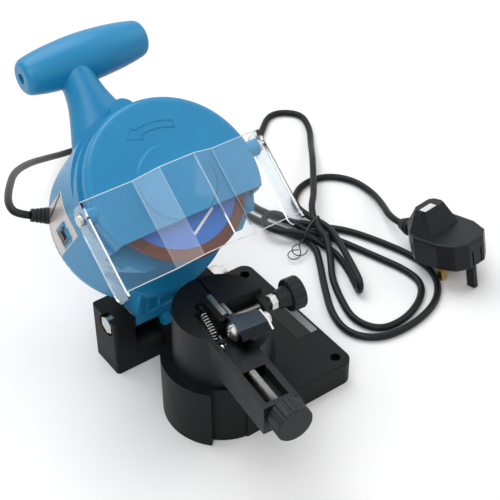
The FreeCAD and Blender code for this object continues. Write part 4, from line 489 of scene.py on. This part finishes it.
# Hands rub the knobs bright in spots of 6 mm. Their moulded skin is drawn 0.7 mm wide.
knob_plastic, tree, place = new_finish("knob_thermoset_moulded", "1a1c1e", 0.46, IOR=1.5,
                                       Specular_IOR_Level=0.25)
skin = add_node(tree, "ShaderNodeTexNoise",
                {"Vector": place, "Scale": 1 / (0.7 * MM), "Detail": 3.0})
wear_and_sheen = add_node(tree, "ShaderNodeTexNoise",
                  {"Vector": place, "Scale": 1 / (6 * MM), "Detail": 3.0})
mark(tree, wear_and_sheen.outputs["Fac"], ("151719", "202224"), (0.4, 0.54))
mark(tree, skin.outputs["Fac"], relief=0.05, strength=0.6)
dress(knob_plastic, "depth_stop_knob")


# ---- Motor housing with its handle
# Two shells moulded in blue ABS, screwed together on an upright seam right of the middle. Pot,
# handle, neck and leg have one spark-eroded grain of 0.5 mm, satin, with slight sinks 30 mm apart.
HEAD_LEAN = math.radians(52)
HINGE_BACK, HINGE_UP = 81.3, 42.8                # of the hinge, about the drum's axis, in mm
HINGE_ON_HEAD = (111, -56.7)                     # back along the spindle and up across it, in mm
POT_RADIUS, POT_MIDDLE = 65, 6
abs_blue, tree, place = new_finish("abs_blue_moulded_satin", "167fb0", 0.38, IOR=1.54,
                                   Specular_IOR_Level=0.35)
grain = add_node(tree, "ShaderNodeTexVoronoi", {"Vector": place, "Scale": 1 / (0.5 * MM)})
sinks = add_node(tree, "ShaderNodeTexNoise",
                 {"Vector": place, "Scale": 1 / (30 * MM), "Detail": 2.0})
mark(tree, sinks.outputs["Fac"], ("117aaa", "1b86b5"), (0.31, 0.42))
mark(tree, grain.outputs["Distance"], relief=0.02, strength=0.45)
dress(abs_blue, "housing_left", "housing_right")
dress(zinc, "housing_screws")


def on_head(x, back, up):
    """A point of the tilted head: right of the spindle, back along it and up across it, in mm."""
    back, up = back - HINGE_ON_HEAD[0], up - HINGE_ON_HEAD[1]
    return row(x, HINGE_BACK + math.cos(HEAD_LEAN) * back + math.sin(HEAD_LEAN) * up,
               HINGE_UP - math.sin(HEAD_LEAN) * back + math.cos(HEAD_LEAN) * up)


def on_pot(angle, back, out):
    """A point over the pot's wall: degrees above its left side, mm back, and mm out from it."""
    a = math.radians(angle)
    return on_head(-(POT_RADIUS + out) * math.cos(a), back,
                   POT_MIDDLE + (POT_RADIUS + out) * math.sin(a))


def wrap(bm, fill, edge, thick, sunk=0.05):
    """Adds a thin sheet laid on the pot, in fill steps each way: edge(s, t) gives (angle, back)."""
    steps = range(fill + 1)
    top, low = ([[bm.verts.new(on_pot(*edge(s / fill, t / fill), out)) for t in steps]
                 for s in steps] for out in (thick, -sunk))
    for i in range(fill):
        for j in range(fill):
            bm.faces.new((top[i][j], top[i + 1][j], top[i + 1][j + 1], top[i][j + 1]))
            bm.faces.new((low[i][j], low[i][j + 1], low[i + 1][j + 1], low[i + 1][j]))
    for i in range(fill):
        for j in (0, fill):
            bm.faces.new((top[i][j], low[i][j], low[i + 1][j], top[i + 1][j]))
            bm.faces.new((top[j][i], top[j][i + 1], low[j][i + 1], low[j][i]))


# ---- Data plate
# Brushed silver foil label, stuck round the left of the pot behind the switch. Along its upper edge
# lies a dark bar of painted shadow, where the gap at that edge falls into shade. The brushing runs
# round the pot, in lines 0.2 mm apart.
PLATE_LOW, PLATE_RISE = -5, 33.5                 # degrees above the pot's left side, and its height
PLATE_FRONT, PLATE_BACK = 34, 84
SLANT_FROM, SLANT_RISE, SLANT = 2, 26.5, 10.5    # degrees, degrees, and mm back at the top
PLATE_THICK, SHADOW_THICK = 0.15, 0.22
foil, tree, place = new_finish("foil_label_brushed_silver", "c3bdb8", 0.34, Metallic=0.55)
brushing = add_node(tree, "ShaderNodeMapping", {
    "Vector": place, "Scale": (1 / (0.2 * MM), 1 / (8 * MM), 1 / (0.2 * MM))})
lines = add_node(tree, "ShaderNodeTexNoise",
                 {"Vector": brushing.outputs[0], "Scale": 1.0, "Detail": 2.0})
mark(tree, lines.outputs["Fac"], ("b3adaa", "d2ccc7"), (0.28, 0.42))


def plate_edge(s, t):
    """The plate from its lower edge up and from its front back. Its front slants as it rises."""
    angle = PLATE_LOW + PLATE_RISE * s
    front = PLATE_FRONT + SLANT * (max(0.0, angle - SLANT_FROM) / SLANT_RISE)
    return angle, front + (PLATE_BACK - front) * t


def bar_edge(s, t):
    """A painted shadow, 2.6 degrees high and 31 mm long, which drops 5.8 degrees towards the back.
    """
    return 28.3 - 5.8 * t - 2.6 * s, 47 + 31 * t


bm = bmesh.new()
wrap(bm, 24, plate_edge, PLATE_THICK)
data_plate = finished("data_plate_bare", bm, foil)
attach(data_plate, "head")

# Painted shadow along the plate's upper edge: a dark bar whose tone varies in patches of 1 mm.
gap_shadow_paint, tree, place = new_finish("painted_gap_shadow", "2a1f22", 0.4, IOR=1.5)
shadow_mottle = add_node(tree, "ShaderNodeTexNoise", {"Vector": place, "Scale": 1 / (1 * MM), "Detail": 3.0})
mark(tree, shadow_mottle.outputs["Fac"], ("241a1c", "382c2e"))
bm = bmesh.new()
wrap(bm, 16, bar_edge, SHADOW_THICK)
# The dark bar of painted shadow at the plate's upper edge.
plate_gap_shadow = finished("data_plate_gap_shadow", bm, gap_shadow_paint)
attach(plate_gap_shadow, "head")


# ---- Rocker switch
# Black nylon bezel and rocker, snapped into the left of the pot and glossier than the housing, with
# a faint ripple of 1.5 mm. The rocker's face has the raised marks I and O.
switch_gloss, tree, place = new_finish("switch_nylon_gloss", "111214", 0.28, IOR=1.53,
                                       Specular_IOR_Level=0.4)
ripple = add_node(tree, "ShaderNodeTexNoise",
                  {"Vector": place, "Scale": 1 / (1.5 * MM), "Detail": 2.0})
mark(tree, ripple.outputs["Fac"], roughness=(0.22, 0.36), relief=0.02, strength=0.5)
dress(switch_gloss, "switch_frame", "switch_rocker")


# ---- Cord gland
# Tapered strain relief in soft black PVC, moulded over the flex and held in the housing's left wall.
# Three ribs let it bend. Its skin is that of the plug's cord grip.
dress(relief_pvc, "cord_gland")


# ---- Wheel cover
# Dished cover in the same blue ABS, with a raised boss in its middle and a half-round lug on top for
# its screw. Its face carries the raised outline of an arrow that shows which way the wheel turns.
ARROW_OUTER, ARROW_INNER, ARROW_SWEEP = 45.3, 40.2, 37      # mm, mm and degrees
ARROW_TAIL, ARROW_NECK = 66, 101                            # degrees above the right
ARROW_HEAD = [(-12.5, 46.5), (-18.5, 40.1), (-8.2, 36.2)]
ARROW_HALF = 0.35
ARROW_UNDER, ARROW_THICK = -11.9, 0.45                      # it starts 0.1 mm inside the face
dress(abs_blue, "wheel_cover")
dress(zinc, "cover_screw")


def arrow_arc(radius, start, sweep):
    """Points of one long side of the arrow, from its start angle through its sweep."""
    angles = [math.radians(start + sweep * k / 12) for k in range(13)]
    return [(radius * math.cos(a), radius * math.sin(a)) for a in angles]


arrow_line = arrow_arc(ARROW_OUTER, ARROW_TAIL, ARROW_SWEEP) + ARROW_HEAD
arrow_line += arrow_arc(ARROW_INNER, ARROW_NECK, -ARROW_SWEEP)
arrow_line.append(arrow_line[0])
bm = bmesh.new()
for one, two in zip(arrow_line, arrow_line[1:]):
    a, b = Vector((one[0], one[1], 0)), Vector((two[0], two[1], 0))
    run = (b - a).normalized() * ARROW_HALF
    side = Vector((-run.y, run.x, 0))
    ring = [a - run + side, b + run + side, b + run - side, a - run - side]
    slab(bm, [on_head(p.x, ARROW_UNDER, p.y) for p in ring],
         on_head(0, -ARROW_THICK, 0) - on_head(0, 0, 0))
arrow = finished("turning_arrow", bm, abs_blue, smooth=False)
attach(arrow, "head")


# ---- Visor
# Folded from 2 mm clear polycarbonate sheet: glossy, with polished edges and a faint haze in clouds
# of 18 mm. Thin white lines of painted highlight run along its edges and folds. It hangs on two
# plated screws with cross recesses.
FOLDS = [(-72.5, -18), (-32, -18), (-14, -27), (14, -27), (32, -18), (72.5, -18)]    # right, back
VISOR_TOP, VISOR_LOW = 10.9, -55.3               # the glints lie 0.1 mm inside the sheet's edges
EDGE_GLINT, FOLD_GLINT = 0.28 * MM, 0.12 * MM
clear_sheet, tree, place = new_finish("polycarbonate_clear_sheet", "fafdfe", 0.03, IOR=1.36,
                                      Transmission_Weight=1.0)
haze = add_node(tree, "ShaderNodeTexNoise", {"Vector": place, "Scale": 1 / (18 * MM), "Detail": 3.0})
mark(tree, haze.outputs["Fac"], roughness=(0.015, 0.06))
dress(clear_sheet, "visor")

# The sawn edge was flamed smooth. The white lines along the edges and folds are painted highlight,
# and their tone varies over 0.9 mm.
edge_highlight, tree, place = new_finish("polycarbonate_painted_edge_highlight", "e9eff3", 0.22, IOR=1.585)
highlight_mottle = add_node(tree, "ShaderNodeTexNoise", {"Vector": place, "Scale": 1 / (0.9 * MM), "Detail": 3.0})
mark(tree, highlight_mottle.outputs["Fac"], ("c9d3da", "f6fafc"), (0.16, 0.34))
bm = bmesh.new()
for up in (VISOR_TOP, VISOR_LOW):
    sweep_tube(bm, [on_head(x, back, up) for x, back in FOLDS], EDGE_GLINT, 6)
for x, back in FOLDS[1:-1]:
    sweep_tube(bm, [on_head(x, back, VISOR_LOW), on_head(x, back, VISOR_TOP)], FOLD_GLINT, 6)
# Painted highlight: white lines along the visor's edges and folds.
visor_highlight_lines = finished("visor_highlight_lines", bm, edge_highlight)
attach(visor_highlight_lines, "visor_guard")
dress(zinc, "visor_screws")


# ---- Grinding wheel
# Vitrified wheel of red-brown grit, pressed and fired, 3.2 mm thick. Grains of about 0.4 mm, a few
# of them pale, stand in a matt open bond whose colour drifts over 5 mm.
vitrified, tree, place = new_finish("abrasive_vitrified_red_brown", "6b3526", 0.85, IOR=1.5)
grit = add_node(tree, "ShaderNodeTexVoronoi", {"Vector": place, "Scale": 1 / (0.4 * MM)})
drift = add_node(tree, "ShaderNodeTexNoise", {"Vector": place, "Scale": 1 / (5 * MM), "Detail": 4.0})
mixed = add_node(tree, "ShaderNodeMath", {0: grit.outputs["Color"], 1: drift.outputs["Fac"]},
                 operation="MULTIPLY")
mark(tree, mixed.outputs[0], ("552618", "96513c"))
mark(tree, grit.outputs["Distance"], relief=0.3)
dress(vitrified, "grinding_wheel")


# ---- Wheel label
# Paper disc printed in blue and glued to the wheel, with one plain white rule where its lettering
# was. Paper fibres are finer than they show, so they are drawn 0.8 mm wide.
RULE_FROM, RULE_TO, RULE_HALF = Vector((-2.4, -37.0, 0)), Vector((19.4, -24.9, 0)), 0.9
RULE_UNDER, RULE_THICK = -1.89, 0.06
printed_paper, tree, place = new_finish("paper_label_printed_blue", "2566b8", 0.55, IOR=1.5)
fibre = add_node(tree, "ShaderNodeTexNoise",
                 {"Vector": place, "Scale": 1 / (0.8 * MM), "Detail": 4.0})
mark(tree, fibre.outputs["Fac"], ("215fae", "2b6fc4"), relief=0.03, strength=0.5)
dress(printed_paper, "wheel_label")

white_ink, tree, place = new_finish("printing_ink_white", "e4e4e2", 0.5, IOR=1.5)
fleck = add_node(tree, "ShaderNodeTexNoise", {"Vector": place, "Scale": 1 / (1 * MM), "Detail": 3.0})
mark(tree, fleck.outputs["Fac"], ("dcdcda", "ececea"))
run = (RULE_TO - RULE_FROM).normalized()
side = Vector((-run.y, run.x, 0)) * RULE_HALF
ring = [RULE_FROM + side, RULE_FROM - side, RULE_TO - side, RULE_TO + side]
bm = bmesh.new()
slab(bm, [on_head(p.x, RULE_UNDER, p.y) for p in ring],
     on_head(0, -RULE_THICK, 0) - on_head(0, 0, 0))
rule = finished("label_rule", bm, white_ink, smooth=False)
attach(rule, "rotor")


# ---- Spindle, flanges and bearings
# Turned and ground steel, with a plated nut. The tool marks are rings round the spindle, and show as
# a fine glitter, about 0.15 mm wide.
turned_steel, tree, place = new_finish("steel_turned_ground", "a8a9aa", 0.26, Metallic=1.0)
spun = add_node(tree, "ShaderNodeTexNoise",
                {"Vector": place, "Scale": 1 / (0.15 * MM), "Detail": 2.0})
mark(tree, spun.outputs["Fac"], ("949596", "bfc0c0"), (0.18, 0.36))
dress(turned_steel, "spindle", "inner_flange", "outer_flange", "front_bearing", "rear_bearing")
dress(zinc, "spindle_nut")


# ---- Motor
# The working parts inside the housing: stamped laminations 0.5 mm thick, windings and commutator of
# enamelled copper in strands of 0.6 mm, carbon brushes in brass holders, and a white nylon fan.
laminations, tree, place = new_finish("steel_laminations_stamped", "6a6b6e", 0.42, Metallic=1.0)
sheets = add_node(tree, "ShaderNodeTexWave", {"Vector": place, "Scale": bands(0.5)},
                  bands_direction="Z")
mark(tree, sheets.outputs["Fac"], ("55565a", "7d7e81"), relief=0.1)
dress(laminations, "stator", "armature_core")

enamelled, tree, place = new_finish("copper_wire_enamelled", "a4562a", 0.32, Metallic=0.8)
strands = add_node(tree, "ShaderNodeTexWave",
                   {"Vector": place, "Scale": bands(0.6), "Distortion": 3.0}, bands_direction="X")
mark(tree, strands.outputs["Fac"], ("813f1c", "c0713f"), relief=0.3)
dress(enamelled, "field_coils", "armature_windings", "commutator")

graphite, tree, place = new_finish("carbon_brush_pressed", "2b2b2c", 0.6, IOR=1.8)
pores = add_node(tree, "ShaderNodeTexNoise",
                 {"Vector": place, "Scale": 1 / (0.5 * MM), "Detail": 3.0})
mark(tree, pores.outputs["Fac"], ("1f1f20", "3a3a3b"), relief=0.05)
dress(graphite, "carbon_brushes")
dress(drawn_brass, "brush_holders")

fan_white, tree, place = new_finish("nylon_white_moulded", "d5d4cf", 0.5, IOR=1.53)
skin = add_node(tree, "ShaderNodeTexNoise", {"Vector": place, "Scale": 1 / (2 * MM), "Detail": 2.0})
mark(tree, skin.outputs["Fac"], ("cbcac4", "deddda"), relief=0.03)
dress(fan_white, "cooling_fan")


# ---- Vice body
# Swivelling turret and arm, one moulding in the same black glass-filled nylon as the base, with its
# grain of 0.6 mm, and worn a little smoother on top.
turret_nylon, tree, place = new_finish("nylon_glass_filled_turret", "131618", 0.46, IOR=1.53,
                                       Specular_IOR_Level=0.2)
grain = add_node(tree, "ShaderNodeTexVoronoi", {"Vector": place, "Scale": 1 / (0.6 * MM)})
flow = add_node(tree, "ShaderNodeTexNoise",
                {"Vector": place, "Scale": 1 / (12 * MM), "Detail": 4.0, "Roughness": 0.6})
mark(tree, flow.outputs["Fac"], ("101315", "181b1d"), (0.38, 0.52))
mark(tree, grain.outputs["Distance"], relief=0.05, strength=0.5)
dress(turret_nylon, "turret_body")


# ---- Fixed and moving jaw
# Milled steel bar, nickel-plated over brushed faces. The fixed jaw sits on the turret and the moving
# one slides in it. The brushing runs along the vice, in lines 0.3 mm apart.
jaw_nickel, tree, place = new_finish("steel_nickel_plated_brushed", "cfcfcb", 0.34, Metallic=1.0)
rolling = add_node(tree, "ShaderNodeMapping", {
    "Vector": place, "Scale": (1 / (0.3 * MM), 1 / (10 * MM), 1 / (0.3 * MM))})
rolled = add_node(tree, "ShaderNodeTexNoise",
                  {"Vector": rolling.outputs[0], "Scale": 1.0, "Detail": 2.0})
mark(tree, rolled.outputs["Fac"], ("b4b5b3", "dcdcd8"), (0.26, 0.42), 0.02, 0.5)
dress(jaw_nickel, "fixed_jaw", "moving_jaw")


# ---- Stop slider with its spring
# The slider is milled from bar and blackened with hot oxide, a deep satin black with smears of 5 mm.
# Its stud carries a turned button head, where the bright coil of drawn wire is hooked.
VICE_TURN = math.radians(-5.3)
SLOT_REACH, SLOT_HALF = 2.2, 0.75                # a screwdriver slot's depth and half width, in mm
BUTTON = [(-20.1, 0.8), (-20.0, 1.8), (-19.6, 2.8), (-18.9, 3.5), (-18.2, 3.8), (-17.6, 3.8)]
black_oxide, tree, place = new_finish("steel_black_oxide_satin", "26282a", 0.4, Metallic=1.0)
smear = add_node(tree, "ShaderNodeTexNoise", {"Vector": place, "Scale": 1 / (5 * MM), "Detail": 4.0})
mark(tree, smear.outputs["Fac"], ("1d1f21", "303336"), (0.32, 0.48))
dress(black_oxide, "stop_slider")
dress(spring_wire, "slider_spring")


def on_vice(x, y, z):
    """A point of the vice: right of the turret's axis, to the back and up from the bench, in mm."""
    return row(x * math.cos(VICE_TURN) - y * math.sin(VICE_TURN),
               x * math.sin(VICE_TURN) + y * math.cos(VICE_TURN), z)


def turned(bm, profile, y, z, slot=0.0, sides=48):
    """Adds a round piece about a line across the vice, from points (x, radius) of its profile."""
    rings = []
    for x, radius in profile:
        ring = []
        for k in range(sides):
            across = radius * math.cos(2 * math.pi * k / sides)
            up = radius * math.sin(2 * math.pi * k / sides)
            slotted = x < profile[0][0] + SLOT_REACH and abs(across) < SLOT_HALF
            ring.append(bm.verts.new(on_vice(x + (slot if slotted else 0.0), y + across, z + up)))
        rings.append(ring)
    skin_rings(bm, rings)


bm = bmesh.new()
turned(bm, BUTTON, -32, 93.1)
stud_button = finished("stud_button", bm, zinc)
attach(stud_button, "slider")


# ---- Chain stop
# Stirrup bent from polished steel sheet. Its dark colour is painted reflection of the dark things
# that the polished sheet mirrors, and its roof is painted lighter, as a painted highlight where it
# faces up. Its sheared edges are bare and bright. It hinges on a plated screw, turned with a slotted
# dome head and a washer, which a domed nut holds at the right.
ROOF_SHEEN_FROM, ROOF_SHEEN_TO = 101.2 * MM, 101.9 * MM
HINGE_SCREW = [(-8.9, 1.1), (-8.7, 2.6), (-8.2, 4.1), (-7.5, 5.2), (-6.8, 5.7), (-6.1, 5.8),
               (-6.0, 7.2), (-5.2, 7.2), (-5.2, 3.0), (19.2, 3.0), (19.2, 5.8), (20.0, 5.8),
               (20.0, 4.9), (22.0, 4.9), (23.4, 4.0), (24.1, 2.6), (24.4, 1.0)]
SHEARED = [(-21.8, 102.0), (-33.0, 102.0), (-39.9, 97.9)]    # the roof's right edge: back, up
SHEARED_LEFT, SHEARED_RIGHT = 17.6, 19.1
# Painted reflection: the sheet's dark colour stands for the dark things its polish mirrors.
reflection_painted_sheet, tree, place = new_finish("steel_sheet_polished_painted_reflection", "2d3135", 0.2, Metallic=1.0)
height = add_node(tree, "ShaderNodeSeparateXYZ", {"Vector": place})
wear_and_sheen = add_node(tree, "ShaderNodeMapRange",
                  {"Value": height.outputs["Z"], "From Min": ROOF_SHEEN_FROM, "From Max": ROOF_SHEEN_TO})
swirl = add_node(tree, "ShaderNodeTexNoise", {"Vector": place, "Scale": 1 / (6 * MM), "Detail": 3.0})
# Painted highlight: the roof is lighter from 101.2 mm up, where it faces the light.
mark(tree, wear_and_sheen.outputs[0], ("26292c", "4a525b"))
mark(tree, swirl.outputs["Fac"], roughness=(0.14, 0.3))
dress(reflection_painted_sheet, "chain_stop")

bm = bmesh.new()
turned(bm, HINGE_SCREW, -26, 95.5, slot=1.8)
stop_screw = finished("stop_hinge_screw", bm, zinc, smooth=False)
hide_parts("stop_pin")
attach(stop_screw, "slider")

# The shears leave a burr every 0.8 mm or so.
sheared, tree, place = new_finish("steel_sheared_edge_bare", "dcdcd9", 0.3, Metallic=1.0)
burr = add_node(tree, "ShaderNodeTexNoise",
                {"Vector": place, "Scale": 1 / (0.8 * MM), "Detail": 3.0})
mark(tree, burr.outputs["Fac"], ("c6c6c4", "ececea"))
bm = bmesh.new()
for (y0, z0), (y1, z1) in zip(SHEARED, SHEARED[1:]):
    strip = [(SHEARED_LEFT, y0, z0), (SHEARED_RIGHT, y0, z0), (SHEARED_RIGHT, y1, z1),
             (SHEARED_LEFT, y1, z1)]
    slab(bm, [on_vice(x, y, z + 0.02) for x, y, z in strip], Vector((0, 0, 0.12 * MM)))
bare_edge = finished("chain_stop_bare_edge", bm, sheared, smooth=False)
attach(bare_edge, "stop")


# ---- Clamp screw with its nut and knob
# An M6 screw across the vice, plated, with a plated nut and a black fluted knob moulded on its end.
# Its thread's 1 mm pitch is drawn as rings along the screw, which runs left to right.
clamp_thread, tree, place = new_finish("steel_zinc_thread_across", "bfc0bd", 0.3, Metallic=1.0)
pitch = add_node(tree, "ShaderNodeTexWave", {"Vector": place, "Scale": bands(1)},
                 bands_direction="X", wave_profile="TRI")
grease = add_node(tree, "ShaderNodeTexNoise",
                  {"Vector": place, "Scale": 1 / (4 * MM), "Detail": 3.0})
mark(tree, grease.outputs["Fac"], ("9b9c99", "d2d2ce"))
mark(tree, pitch.outputs["Fac"], relief=0.5)
dress(clamp_thread, "clamp_screw")
dress(zinc, "clamp_nut")
dress(knob_plastic, "clamp_knob")


# ---- Stop adjuster
# The plated screw that draws the slider along the vice, with the depth screw's thread, and the black
# fluted knob moulded on its front end.
dress(depth_thread, "adjuster_screw")
dress(knob_plastic, "adjuster_knob")


# ---- Turret lock
# Plated stud below the turret, and the flat black knob that is screwed on it from under the drum and
# clamps the turret at its angle.
dress(zinc, "turret_lock_stud")
dress(knob_plastic, "turret_lock_knob")


# ---- Floor and studio light
# A plain pale floor that keeps the soft shadow, a white surround for what the camera, gloss and
# glass see, and large soft lamps from the left, the right and behind.
floor_paint, tree, place = new_finish("studio_floor_matt_white", "f7f7f7", 0.9, IOR=1.4,
                                      Specular_IOR_Level=0.1)
speck = add_node(tree, "ShaderNodeTexNoise",
                 {"Vector": place, "Scale": 1 / (400 * MM), "Detail": 1.0})
mark(tree, speck.outputs["Fac"], ("f6f6f6", "f8f8f8"))
bm = bmesh.new()
bmesh.ops.create_grid(bm, x_segments=2, y_segments=2, size=4.0)
floor = finished("studio_floor", bm, floor_paint, smooth=False)
floor.location.z = -0.3 * MM

WHITE = (1.0, 1.0, 1.0, 1.0)
world = bpy.data.worlds.new("studio_surround")
bpy.context.scene.world = world
world.use_nodes = True
tree = world.node_tree
tree.nodes.clear()
rays = add_node(tree, "ShaderNodeLightPath").outputs
direct = add_node(tree, "ShaderNodeMath", {0: rays["Is Camera Ray"], 1: rays["Is Glossy Ray"]},
                  operation="MAXIMUM")
seen = add_node(tree, "ShaderNodeMath", {0: direct.outputs[0], 1: rays["Is Transmission Ray"]},
                operation="MAXIMUM")
soft = add_node(tree, "ShaderNodeBackground", {"Color": WHITE, "Strength": 0.38})
plain = add_node(tree, "ShaderNodeBackground", {"Color": WHITE, "Strength": 1.0})
surround = add_node(tree, "ShaderNodeMixShader",
                    {0: seen.outputs[0], 1: soft.outputs[0], 2: plain.outputs[0]})
add_node(tree, "ShaderNodeOutputWorld", {"Surface": surround.outputs[0]})


def soft_lamp(name, spot, size, power):
    """A square soft lamp that points from its spot to the machine's middle."""
    data = bpy.data.lights.new(name, "AREA")
    data.shape, data.size, data.energy = "SQUARE", size, power
    lamp = bpy.data.objects.new(name, data)
    lamp.location = spot
    lamp.rotation_euler = (Vector((0, 0, 0.1)) - Vector(spot)).to_track_quat("-Z", "Y").to_euler()
    bpy.context.scene.collection.objects.link(lamp)


soft_lamp("key_left_front", (-1.0, -0.8, 1.6), 1.3, 15)
soft_lamp("fill_right", (1.4, -0.3, 1.3), 1.4, 7)
soft_lamp("top_back", (-0.1, 0.9, 1.8), 1.6, 24)
bpy.context.scene.view_settings.view_transform = "Standard"
